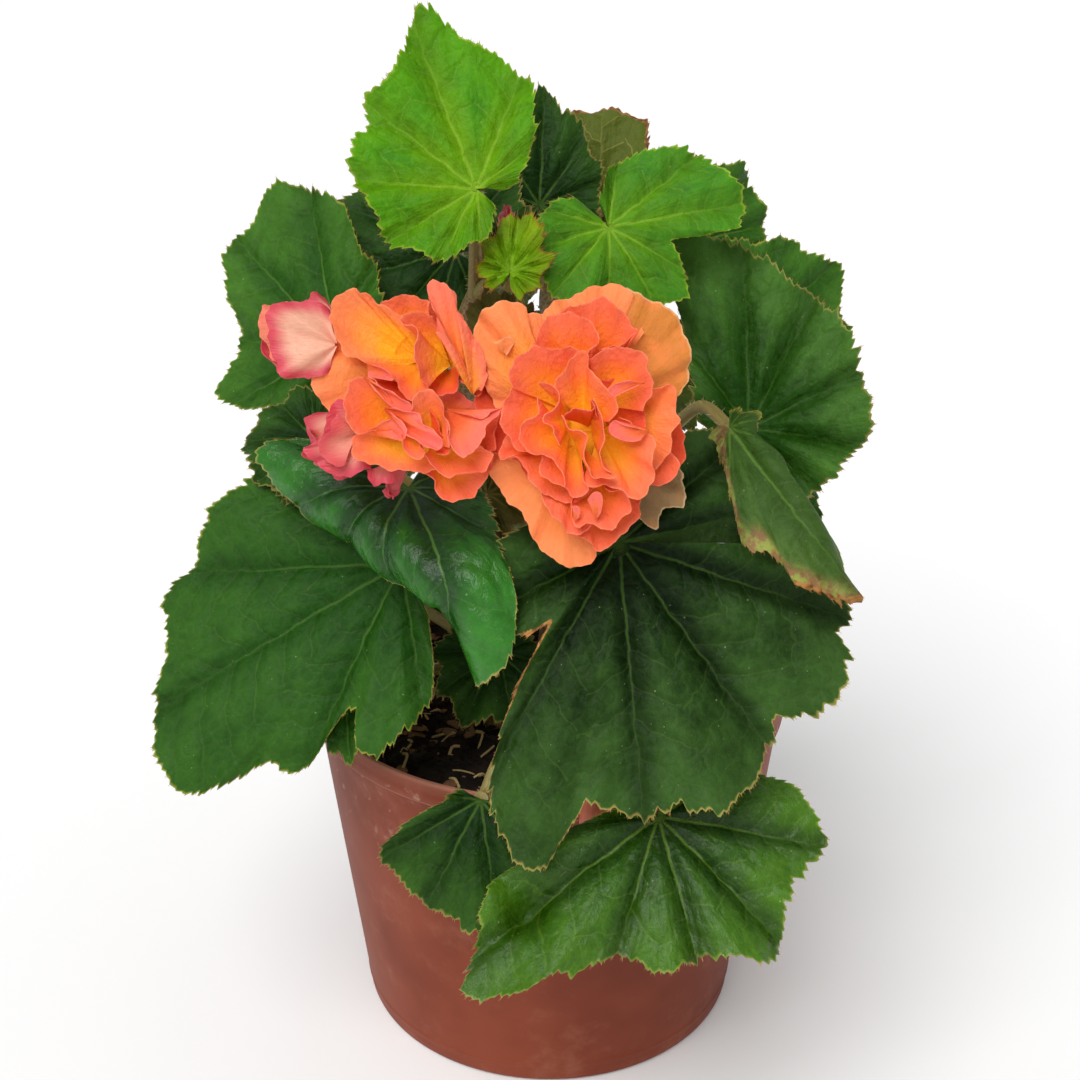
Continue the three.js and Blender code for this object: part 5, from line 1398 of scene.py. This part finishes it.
def add_margin_hairs(pile, form, random):
    """Hairs round a leaf's margin, on its teeth and between them."""
    leaf = form.leaf
    count = int(form.length / HAIR_SPACING)
    at = np.sort(random.uniform(0, form.columns, count))
    angle = np.interp(at, np.arange(form.columns + 1), form.angles)
    run = at / form.columns * form.length
    grow = teeth(leaf, angle, run)
    long = leaf.get("hair", 0.8) * random.uniform(0.6, 1.3, count)
    radius = outline_radius(form.outline, angle)
    turn = np.degrees(HAIR_HALF_WIDTH / np.maximum(radius, 5))
    height = form.height(angle, 1, run)
    swing = random.uniform(-1, 1, count) * 25 * turn / 9
    rise = random.uniform(-0.3, 0.5, count)
    corner = np.stack([angle - turn, angle + turn, angle, angle + swing], axis=1)
    lift = np.stack([height, height, height + HAIR_HEIGHT, height + rise], axis=1)
    out = np.stack([grow - 0.25] * 3 + [grow + long], axis=1)
    factor = 1 + out / np.maximum(outline_radius(form.outline, corner), SMALL_RADIUS)
    share = np.ones(corner.size)
    points, flat = form.place(corner.ravel(), share, lift.ravel(), factor.ravel())
    pile.add(
        points, hair_faces(count), flat,
        {
            "vein": 0.5, "span": 9.0, "rim": -1.0, "side": 1.0, "dry": 0.0, "warm": 0.0,
            "turned": 0.0,
        },
    )


def make_leaves():
    for seed, leaf in enumerate(LEAVES, 100):
        random = np.random.default_rng(seed)
        look = dict(LEAF_LOOKS[leaf["look"]], **leaf.get("tone", {}))
        material = leaf_material("skin_" + leaf["name"], look)
        form = LeafForm(leaf, random)
        pile = Pile()
        add_blade(pile, form)
        add_margin_hairs(pile, form, random)
        dress(pile.make(leaf["name"] + "_blade", material), leaf["name"])


# Blooms and buds
def bloom_axes(flower):
    """The ways across, up and out of a flower."""
    w = unit(flower["axis"])
    u = unit(np.cross([0, 0, 1], w))
    return u, np.cross(w, u), w


def bloom_point(flower, place):
    u, v, w = bloom_axes(flower)
    return np.asarray(flower["centre"]) + place[0] * u + place[1] * v + place[2] * w


LATHE_SIDES = 24


def lathe(flower, profile):
    """A round body along a flower's axis, with its faces and a flat map."""
    u, v, w = bloom_axes(flower)
    turn = turns(LATHE_SIDES)
    out = np.outer(np.cos(turn), u) + np.outer(np.sin(turn), v)
    points, flat = [], []
    for r, h in profile:
        points.append(np.asarray(flower["centre"]) + max(r, 0.01) * out + h * w)
        flat.append(np.stack([np.full(LATHE_SIDES, h), turn * max(r, 0.5)], axis=1))
    faces = tube_faces(len(profile), LATHE_SIDES)
    return np.concatenate(points), faces, np.concatenate(flat)


def grid_faces(rows, columns):
    """The faces of a grid of points, and the points round its border."""
    faces = []
    for i in range(rows - 1):
        for k in range(columns - 1):
            o = i * columns + k
            faces.append((o, o + columns, o + columns + 1, o + 1))
    last = (rows - 1) * columns
    border = [i * columns for i in range(rows)]
    border += range(last + 1, last + columns)
    border += [i * columns + columns - 1 for i in range(rows - 2, -1, -1)]
    border += range(columns - 2, 0, -1)
    return faces, border


PETAL_SPACING = 0.8
PETAL_STEPS = [
    0.04, 0.14, 0.26, 0.38, 0.49, 0.59, 0.68, 0.76, 0.83, 0.885, 0.93, 0.965, 0.985, 1,
]
PETAL_CUP = 0.35
SHEET_CUP = -0.15
SHEET_RUFFLE = 1.3


def frilled_margin(base, corners, ruffle, random):
    """A margin through corners with a fine frill, and how far along it each of its points lies."""
    length = sum(np.linalg.norm(b - a) for a, b in zip(corners, corners[1:]))
    count = max(12, round(length / PETAL_SPACING))
    edge = smooth_curve(corners, count)
    run = np.linspace(0, length, count)
    a, b = random.uniform(0, 6.28, 2)
    frill = 0.24 * np.sin(run / 0.5 + a) * np.sin(run / 2.3 + b) + 0.2 * np.sin(run / 1.1 + b)
    return edge + ruffle * frill[:, None] * units(edge - base), run


def plain_margin(edge):
    """A margin without its folds: the running middle of its points."""
    spread = max(2, len(edge) // 8)
    padded = np.vstack([edge[:1]] * spread + [edge] + [edge[-1:]] * spread)
    window = np.ones(2 * spread + 1) / (2 * spread + 1)
    return np.stack([np.convolve(padded[:, k], window, "valid") for k in range(3)], axis=1)


def free_petal(flower, base, margin, shape, random, values):
    """A petal spread from its base to a margin of any form. Inwards it gets plainer, and its
    margin ruffles. shape is how deep it is cupped and how strongly it ruffles."""
    cup, ruffle = shape
    base = bloom_point(flower, base)
    corners = [bloom_point(flower, place) for place in margin]
    edge, run = frilled_margin(base, corners, ruffle, random)
    plain = plain_margin(edge)
    far = np.linalg.norm(edge - base, axis=1)

    # The sheet, from the base to the margin
    s = np.array(PETAL_STEPS)[:, None]
    wild = smooth_step(0.3, 1, s)[..., None]
    points = base + s[..., None] * (plain + wild * (edge - plain) - base)
    points = points + (cup * far * (s**2 - s))[..., None] * bloom_axes(flower)[2]
    normal = units(np.cross(np.gradient(points, axis=0), np.gradient(points, axis=1)))

    # Its waves and folds
    a, b, c = random.uniform(0, 6.28, 3)
    waves = np.sin(run / 1.5 + a + 2 * s) + 0.6 * np.sin(run / 0.75 + b) * s**3
    waves = (0.16 + 0.02 * far) * ruffle * s**3 * waves
    folds = (0.1 + 0.045 * far) * ruffle * s * (1.15 - s) * 2 * np.sin(run / 2.6 + c)
    points = points + (waves + folds)[..., None] * normal

    half = (0.22 - 0.13 * s**2)[..., None]
    both = [(points + side * half * normal).reshape(-1, 3) for side in (1, -1)]
    turn = (run / run[-1] - 0.5) * 1.6
    flat = np.stack([s * far * np.cos(turn), s * far * np.sin(turn)], axis=2).reshape(-1, 2)
    reach, rim = (s * np.ones_like(run)).ravel(), ((1 - s) * far).ravel()
    faces, border = grid_faces(len(s), len(run))
    values = {"reach": np.tile(reach, 2), "rim": np.tile(rim, 2), **values}
    return np.concatenate(both), thicken(faces, border, len(rim)), np.tile(flat, (2, 1)), values


FRESH = {"warm": 0.0, "pale": 0.0, "pink": 0.0, "deep": 0.0, "old": 0.0}


def make_bloom(bloom, seed, material):
    """A round core with the bloom's petals spread from it."""
    random = np.random.default_rng(seed)
    pile = Pile()
    back, front, reach = bloom["core"]
    core = [(0, -4), (back * 0.5, -4), (back, -1), (back * 0.9, 1), (front, reach - 1), (0, reach)]
    pile.add(*lathe(bloom, core), {"reach": 0.1, "rim": 5.0, **FRESH, "warm": 1.0})
    for look, base, margin in bloom["petals"]:
        values = {**FRESH, **PETAL_LOOKS[look]}
        shape = values.pop("cup", PETAL_CUP), values.pop("ruffle", 1.0)
        values["pink"] += random.uniform(0, 0.15)
        pile.add(*free_petal(bloom, base, margin, shape, random, values))
    dress(pile.make(bloom["name"] + "_petals", material, sharp=80), bloom["name"])


BUD_COLUMNS = 32
BUD_RINGS = [
    (1, 1), (0.975, 1), (0.94, 1), (0.9, 1), (0.85, 1), (0.79, 1), (0.72, 1), (0.64, 1),
    (0.56, 1), (0.47, 2), (0.37, 2), (0.26, 2), (0.14, 4),
]
BUD_PETAL = [
    (-1, 0.62), (-0.8, 0.8), (-0.45, 0.93), (0, 1), (0.45, 0.93), (0.8, 0.8), (1, 0.62),
]


def wrapped_petal(bud, around, random, values):
    """A petal that wraps a bud's body and opens at its end."""
    wrapped = bud["wrapped"]
    size = wrapped["length"]
    spread = math.degrees(math.asin(min(0.97, wrapped["half"] / (0.72 * size))))
    outline = [(share * spread, radius * size) for share, radius in BUD_PETAL]
    u, v, w = bloom_axes(bud)
    out = math.cos(around) * u + math.sin(around) * v
    opening = math.radians(wrapped["open"])
    blade = {
        "hub": np.asarray(bud["centre"]) + 0.7 * wrapped["from"] * out,
        "tip": math.cos(opening) * w + math.sin(opening) * out,
        "face": -out, "size": size, "cup": 0.15, "outline": outline,
        "bends": [(0, size * 0.6, -size * 0.7, 50)],
    }
    column, share, faces, border = fan(BUD_COLUMNS, BUD_RINGS)
    angle = even_angles(outline, BUD_COLUMNS)[column]
    across = angle / outline[-1][0]
    radius = outline_radius(outline, angle)
    a, b, c = random.uniform(0, 6.28, 3)
    wide = np.sin(2.6 * across + a + share)
    fine = np.sin(6.2 * across + b + 2 * share) + 0.4 * np.sin(12 * across + c)
    bulge = (0.3 + 0.1 * size) * share**2 * wide + (0.3 + 0.05 * size) * share**4 * fine
    bulge = bulge * wrapped.get("ruffle", 0.6)
    bulge = bulge + 0.05 * size * share**2 * across**2
    notch = 0.03 * np.sin(3.3 * across + c) + 0.015 * np.sin(9 * across + b)
    notch += 0.008 * np.sin(19 * across + a)
    factor = 1 + notch * smooth_step(0.6, 1, share)
    half = 0.26 - 0.14 * share**2
    points = [blade_points(blade, angle, share, bulge + s * half, factor) for s in (1, -1)]
    flat = np.stack(polar(share * radius * factor, angle), 1)
    values = {"reach": np.tile(share, 2), "rim": np.tile((1 - share) * radius, 2), **values}
    faces = thicken(faces, border, len(angle))
    return np.concatenate(points), faces, np.tile(flat, (2, 1)), values


def make_bud(bud, seed, material):
    """A closed body with petals wrapped round it and, on some, loose ones beside them."""
    random = np.random.default_rng(seed)
    pile = Pile()
    look = {"cream": bud.get("cream", 0.2), "warm": bud.get("warm", 0.0)}
    points, faces, flat = lathe(bud, bud["body"])
    low, high = bud["body"][0][1], bud["body"][-1][1]
    pile.add(points, faces, flat, {"reach": (flat[:, 0] - low) / (high - low), "rim": 3.0, **look})
    count = bud["wrapped"]["count"]
    for index in range(count):
        around = 2 * math.pi * index / count + 0.4
        pile.add(*wrapped_petal(bud, around, random, look))
    sheets = bud.get("sheets", {"petals": []})
    for warm, base, margin in sheets["petals"]:
        values = {"cream": 0.8 * look["cream"], "warm": warm}
        shape = SHEET_CUP, SHEET_RUFFLE
        pile.add(*free_petal(sheets, base, margin, shape, random, values))
    dress(pile.make(bud["name"] + "_petals", material, sharp=80), bud["name"])


# Stems
STEM_STEPS = 60
STALK_STEPS = 36
SOIL_TOP = 94
STEM_SIDES = 16
STALK_SIDES = 10
LEAF_STALK = {"radius": 1.6, "kind": 1.0, "hairs": 90}
FLOWER_STALK = {"radius": 1.4, "kind": 2.0, "hairs": 30}
DOWN_LENGTH = 1.3
DOWN_RADIUS = 0.07


def stem_curve(stem, count):
    foot = [*stem["foot"], SOIL_TOP - 14]
    collar = [*stem["foot"], SOIL_TOP + 4]
    return smooth_curve([foot, collar, *stem["route"]], count)


def stalk_end(name):
    """Where a stalk ends, the way out of the back there, how far off it stops and its approach."""
    for leaf in LEAVES:
        if leaf["name"] == name:
            return np.array(leaf["hub"], float), -unit(leaf["face"]), 0.5, leaf.get("reach", 7)
    for flower in [*BLOOMS, *BUDS]:
        if flower["name"] == name:
            foot = -flower["body"][0][1] if "body" in flower else 4
            return np.array(flower["centre"], float), -unit(flower["axis"]), foot + 0.1, 10
    raise ValueError(name)


def add_stalk(pile, start, name, way, random):
    """A stalk from its stem to the back of what it carries, and the hairs all round it."""
    point, back, seat, approach = stalk_end(name)
    near, end = point + back * (seat + 0.2 + approach), point + back * seat
    middle = 0.5 * (start + near) + [0, 0, 0.08 * np.linalg.norm(near - start)]
    path = smooth_curve([start, *(way or [middle]), near, end], STALK_STEPS)
    stalk = LEAF_STALK if name.startswith("leaf") else FLOWER_STALK
    share = np.linspace(0, 1, STALK_STEPS)
    radii = stalk["radius"] * (1 + 0.25 * (1 - share) ** 4 + 0.25 * share**8)
    pile.add(*rod(path, radii, STALK_SIDES), {"kind": stalk["kind"]})
    count = stalk["hairs"]
    picks = random.integers(3, STALK_STEPS - 1, count)
    around = random.normal(size=(count, 3))
    tangent = units(np.gradient(path, axis=0)[picks])
    around = units(around - tangent * np.sum(around * tangent, axis=1)[:, None])
    slide = random.uniform(-0.5, 0.5, count)[:, None] * (path[1] - path[0])
    roots = path[picks] + around * radii[picks][:, None] * 0.95 + slide
    lengths = DOWN_LENGTH * random.uniform(0.5, 1.2, count)
    points, faces = hairs(roots, around, lengths, DOWN_RADIUS)
    pile.add(points, faces, np.zeros((len(points), 2)), {"kind": 3.0})


def make_stem(stem, seed, material):
    """A knotted stem with its growing tip and its stalks."""
    random = np.random.default_rng(seed)
    pile = Pile()
    path = stem_curve(stem, STEM_STEPS)
    along = np.linspace(0, 1, STEM_STEPS)
    knots = 1 + 0.08 * np.maximum(0, np.sin(along * 34)) ** 8
    radii = stem["radius"] * knots * (1 - 0.12 * along)
    radii *= 1 - 0.6 * smooth_step(0.93, 1, along)
    pile.add(*rod(path, radii, STEM_SIDES), {"kind": 0.0})
    tip = path[-1] + unit(path[-1] - path[-2]) * np.array([[0], [3], [6], [8.5]])
    pile.add(*rod(tip, [1.8, 1.9, 1.2, 0.3], 12), {"kind": 0.3})
    spaced = stem_curve(stem, 101)
    for name, height, *way in stem["stalks"]:
        start = spaced[np.argmin(abs(spaced[:, 2] - height))]
        add_stalk(pile, start, name, way, random)
    dress(pile.make(stem["name"] + "_skin", material, sharp=70), stem["name"])


# The pot
POT_SIDES = 144
POT_BASE = 57.5
POT_RIM = 70.0
POT_HEIGHT = 105.0
POT_BAND = 7.0
POT_WALL = 1.6
POT_SHARP = 35
BAND_FOOT = POT_HEIGHT - POT_BAND
WALL_TOP = POT_RIM - 1.2
FLAT_RADIUS = 66

# The holes in its floor and the marks on its rim, in metres
HOLE_COUNT = 8
HOLE_RING = 0.034
HOLE_RADIUS = 0.004
HOLE_DEPTH = 0.01
MARK_ANGLES = (255, 75)
MARK_RING = 0.0704
MARK_HEIGHT = 0.105
MARK_SIZE = (0.002, 0.003, 0.014)


def pot_profile():
    """The pot's section as (radius, height): from the middle of its underside to its rim, and
    from there down inside."""
    def wall(z):
        return POT_BASE + (z - 2) * (WALL_TOP - POT_BASE) / (BAND_FOOT - 2)

    outside = [
        (0.01, 0), (18, 0), (19.2, 1.2), (44.8, 1.2), (46, 0), (55.2, 0), (56.3, 0.25),
        (57.1, 0.9), (POT_BASE, 2),
    ]
    beads = ((4, 0), (5.6, 0), (6.0, 0.18), (6.4, 0.18), (6.8, 0))
    outside += [(wall(z) + bead, z) for z, bead in beads]
    outside += [(wall(z), z) for z in np.linspace(8, BAND_FOOT - 1, 30)]
    outside += [
        (WALL_TOP, BAND_FOOT - 0.15), (WALL_TOP + 0.25, BAND_FOOT), (POT_RIM - 0.4, BAND_FOOT),
        (POT_RIM - 0.1, BAND_FOOT + 0.25), (POT_RIM, BAND_FOOT + 0.7), (POT_RIM, BAND_FOOT + 3),
        (POT_RIM, POT_HEIGHT - 1.1), (POT_RIM - 0.15, POT_HEIGHT - 0.45),
        (POT_RIM - 0.5, POT_HEIGHT - 0.08), (POT_RIM - 1.0, POT_HEIGHT),
        (POT_RIM - 1.5, POT_HEIGHT - 0.1), (POT_RIM - 1.8, POT_HEIGHT - 0.5),
    ]
    inside = [
        (POT_RIM - 1.9, POT_HEIGHT - 1.2), (POT_RIM - 2.3, BAND_FOOT + 1.5),
        (WALL_TOP - POT_WALL, BAND_FOOT), (wall(80) - POT_WALL, 80), (wall(40) - POT_WALL, 40),
        (POT_BASE - POT_WALL, 2.4), (0.01, 2.4),
    ]
    return outside, inside


def pot_cutters():
    """Rods for the drain holes and blocks for the marks on the rim."""
    cutters = []
    for i in range(HOLE_COUNT):
        angle = 2 * math.pi * (i + 0.5) / HOLE_COUNT
        where = (HOLE_RING * math.cos(angle), HOLE_RING * math.sin(angle), 0)
        bpy.ops.mesh.primitive_cylinder_add(
            vertices=32, radius=HOLE_RADIUS, depth=HOLE_DEPTH, location=where,
        )
        cutters.append(bpy.context.object)
    for angle in MARK_ANGLES:
        turned = math.radians(angle)
        where = (MARK_RING * math.cos(turned), MARK_RING * math.sin(turned), MARK_HEIGHT)
        bpy.ops.mesh.primitive_cube_add(size=1, location=where, rotation=(0, 0, turned))
        bpy.context.object.scale = MARK_SIZE
        cutters.append(bpy.context.object)
    return cutters


def make_pot():
    """A thin tapered pot with a rolled rim band, a stacking bead, drain holes and rim marks."""
    outside, inner = pot_profile()
    profile = outside + inner
    turn = turns(POT_SIDES)
    points, flat, inside, wear = [], [], [], []
    for i, (r, z) in enumerate(profile):
        level = np.full(POT_SIDES, z)
        bulge = 0.12 * np.sin(2 * turn + 0.5) + 0.06 * np.sin(5 * turn + z / 20)
        ring = r + bulge * (z > 3)
        points.append(np.stack([ring * np.cos(turn), ring * np.sin(turn), level], 1))
        flat.append(np.stack([turn * FLAT_RADIUS, level], 1))
        inside.append(np.full(POT_SIDES, float(i >= len(outside))))
        edge = math.exp(-((z - POT_HEIGHT) ** 2)) + math.exp(-(((z - BAND_FOOT) / 0.5) ** 2))
        wear.append(np.full(POT_SIDES, edge if r > 60 else 0.0))
    values = {"inside": np.concatenate(inside), "wear": np.concatenate(wear)}
    faces = tube_faces(len(profile), POT_SIDES)
    points, flat = np.concatenate(points), np.concatenate(flat)
    pot = make_object("pot_shell", points, faces, pot_material(), flat, values, POT_SHARP)
    cutters = pot_cutters()
    for cutter in cutters:
        cut = pot.modifiers.new("cut", "BOOLEAN")
        cut.object = cutter
        cut.solver = "EXACT"
    bpy.context.view_layer.objects.active = pot
    for name in [cut.name for cut in pot.modifiers]:
        bpy.ops.object.modifier_apply(modifier=name)
    for cutter in cutters:
        bpy.data.objects.remove(cutter)
    pot.data.set_sharp_from_angle(angle=math.radians(POT_SHARP))
    dress(pot, "pot")


# The soil
SOIL_RADIUS = 66.9
SOIL_PLAIN_FROM = 58
SOIL_FOOT_RADIUS = 55.5
SOIL_FOOT = 2.7
SOIL_ROWS = 46
SOIL_COLUMNS = 128
CRUMB_REACH = 64.5
STRAW_REACH = 60
STRAW_STEPS = 7


def soil_top(x, y):
    """The height of the soil: uneven in the middle and plain at the pot's wall."""
    swell = 1.3 * np.sin(0.23 * x + 1) * np.cos(0.31 * y) + 0.8 * np.sin(0.5 * y)
    fine = 0.5 * np.sin(1.3 * x + 0.7 * y) * np.sin(1.1 * y - 0.4 * x + 2)
    return SOIL_TOP + (swell + fine) * smooth_step(SOIL_RADIUS, SOIL_PLAIN_FROM, np.hypot(x, y))


def add_soil_block(pile, random):
    """An uneven crumbly top over a plain block."""
    share = np.linspace(0, 1, SOIL_ROWS + 1)[1:]
    turn = turns(SOIL_COLUMNS)
    reach = SOIL_RADIUS * share[:, None] * np.ones(SOIL_COLUMNS)
    x, y = reach * np.cos(turn), reach * np.sin(turn)
    z = soil_top(x, y) + 0.5 * random.normal(size=x.shape) * (share[:, None] < 0.99)
    low_x, low_y = SOIL_FOOT_RADIUS * np.cos(turn), SOIL_FOOT_RADIUS * np.sin(turn)
    low = np.stack([low_x, low_y, np.full(SOIL_COLUMNS, SOIL_FOOT)], 1)
    middle = [[0, 0, float(soil_top(0, 0))]]
    points = np.concatenate([middle, np.stack([x, y, z], 2).reshape(-1, 3), low])
    faces = [(0, 1 + k, 1 + (k + 1) % SOIL_COLUMNS) for k in range(SOIL_COLUMNS)]
    for start in range(1, 1 + SOIL_ROWS * SOIL_COLUMNS, SOIL_COLUMNS):
        for k in range(SOIL_COLUMNS):
            a, b = start + k, start + (k + 1) % SOIL_COLUMNS
            faces.append((a, a + SOIL_COLUMNS, b + SOIL_COLUMNS, b))
    floor = 1 + SOIL_ROWS * SOIL_COLUMNS
    faces.append(tuple(range(floor, floor + SOIL_COLUMNS))[::-1])
    pile.add(points, faces, points[:, :2], {"kind": 0.0})


def plain_lump():
    """The twelve corners of a round lump, and its faces."""
    golden = (1 + 5**0.5) / 2
    corners = [(0, s, t * golden) for s in (-1, 1) for t in (-1, 1)]
    corners += [(b, c, a) for a, b, c in corners] + [(c, a, b) for a, b, c in corners]
    lump = units(np.array(corners, float))
    reach = 1.1 * min(np.linalg.norm(lump[0] - p) for p in lump[1:])
    faces = []
    for trio in itertools.combinations(range(len(lump)), 3):
        i, j, k = trio
        if all(np.linalg.norm(lump[a] - lump[b]) < reach for a, b in ((i, j), (j, k), (i, k))):
            out = np.cross(lump[j] - lump[i], lump[k] - lump[i]).dot(lump[i]) > 0
            faces.append((i, j, k) if out else (i, k, j))
    return lump, faces


def add_lumps(pile, random, kind, count, size, flatness):
    """Crumbs or bark: lumps with their corners moved, stretched and tilted."""
    lump, faces = plain_lump()
    for _ in range(count):
        away = CRUMB_REACH * math.sqrt(random.uniform())
        angle = random.uniform(0, 2 * math.pi)
        x, y = away * math.cos(angle), away * math.sin(angle)
        grown = size * random.uniform(0.4, 1.5)
        shape = lump * random.uniform(0.7, 1.25, (12, 1)) * grown
        shape = shape * [random.uniform(0.7, 1.9), 1, flatness]
        c, s = math.cos(angle * 7), math.sin(angle * 7)
        shape = shape @ np.array([[c, s, 0], [-s, c, 0], [0, 0, 1]])
        shape[:, 2] += 0.3 * shape[:, 0] * random.uniform(-1, 1)
        centre = [x, y, float(soil_top(x, y)) + 0.2 * grown]
        pile.add(shape + centre, faces, shape[:, :2], {"kind": kind})


def add_straw(pile, random, count):
    """Straw and fine roots that lie bent on the soil."""
    for _ in range(count):
        away = STRAW_REACH * math.sqrt(random.uniform())
        angle = random.uniform(0, 2 * math.pi)
        start = np.array([away * math.cos(angle), away * math.sin(angle), 0])
        turn = random.uniform(0, 2 * math.pi)
        way = np.array([math.cos(turn), math.sin(turn), 0]) * random.uniform(2, 7)
        bow = np.array([-way[1], way[0], 0]) * random.uniform(-0.3, 0.3)
        path = np.array([start, start + 0.5 * way + bow, start + way])
        if np.hypot(path[:, 0], path[:, 1]).max() >= STRAW_REACH + 4:
            continue
        path[:, 2] = soil_top(path[:, 0], path[:, 1]) + [0.6, 1.4, 0.7]
        radii = np.full(STRAW_STEPS, random.uniform(0.14, 0.5))
        pile.add(*rod(smooth_curve(path, STRAW_STEPS), radii, 5), {"kind": 2.0})


def make_soil():
    """Soil with crumbs, bark, straw and fine roots on it."""
    random = np.random.default_rng(7)
    pile = Pile()
    add_soil_block(pile, random)
    add_lumps(pile, random, kind=0.0, count=1500, size=1.0, flatness=0.7)
    add_lumps(pile, random, kind=1.0, count=230, size=1.7, flatness=0.3)
    add_straw(pile, random, count=170)
    dress(pile.make("soil_crumbs", soil_material(), sharp=40), "soil")


# Camera, floor and light
SENSOR_WIDTH = 36
FOCAL_LENGTH = 53
CAMERA_TARGET = (-2.8, 0, 148.4)
CAMERA_DISTANCE = 460.4
CAMERA_RISE = 23.28
FLOOR_REACH = 8000
FLOOR_COLOUR = (250, 250, 250)


def make_camera():
    camera = bpy.data.objects.new("camera", bpy.data.cameras.new("camera"))
    camera.data.sensor_width = SENSOR_WIDTH
    camera.data.lens = FOCAL_LENGTH
    rise = math.radians(CAMERA_RISE)
    back = np.array([0, -math.cos(rise), math.sin(rise)])
    camera.location = ((np.array(CAMERA_TARGET) + CAMERA_DISTANCE * back) * MM).tolist()
    camera.rotation_euler = (math.pi / 2 - rise, 0, 0)
    camera.data.clip_start = 0.01
    bpy.context.scene.collection.objects.link(camera)
    bpy.context.scene.camera = camera


def make_floor():
    g = Graph("pale_floor")
    g.finish(linear(FLOOR_COLOUR), 0.9, Specular_IOR_Level=0.1)
    corners = [(x * FLOOR_REACH, y * FLOOR_REACH, 0) for x, y in ((-1, -1), (1, -1), (1, 1), (-1, 1))]
    make_object("floor", corners, [(0, 1, 2, 3)], g.material)


def make_sun(name, direction, angle, strength):
    light = bpy.data.objects.new(name, bpy.data.lights.new(name, "SUN"))
    light.data.energy = strength
    light.data.angle = math.radians(angle)
    x, y, z = unit(direction)
    light.rotation_euler = (math.acos(-z), 0, math.atan2(y, x) - math.pi / 2)
    bpy.context.scene.collection.objects.link(light)


def make_stage():
    make_camera()
    make_floor()
    make_sun("soft_key", (0.35, 0.75, -1), 40, 2.4)
    scene = bpy.context.scene
    scene.view_settings.view_transform = "Standard"
    scene.world = bpy.data.worlds.new("white_room")
    scene.world.use_nodes = True
    background = scene.world.node_tree.nodes["Background"]
    background.inputs["Color"].default_value = (1, 1, 1, 1)
    background.inputs["Strength"].default_value = 0.5


make_stage()
make_leaves()
petal_flesh, bud_flesh, stem_skin = petal_material(), bud_material(), stem_material()
for index, flower in enumerate(BLOOMS):
    make_bloom(flower, 20 + index, petal_flesh)
for index, flower in enumerate(BUDS):
    make_bud(flower, 30 + index, bud_flesh)
for index, stem in enumerate(STEMS):
    make_stem(stem, 40 + index, stem_skin)
make_pot()
make_soil()
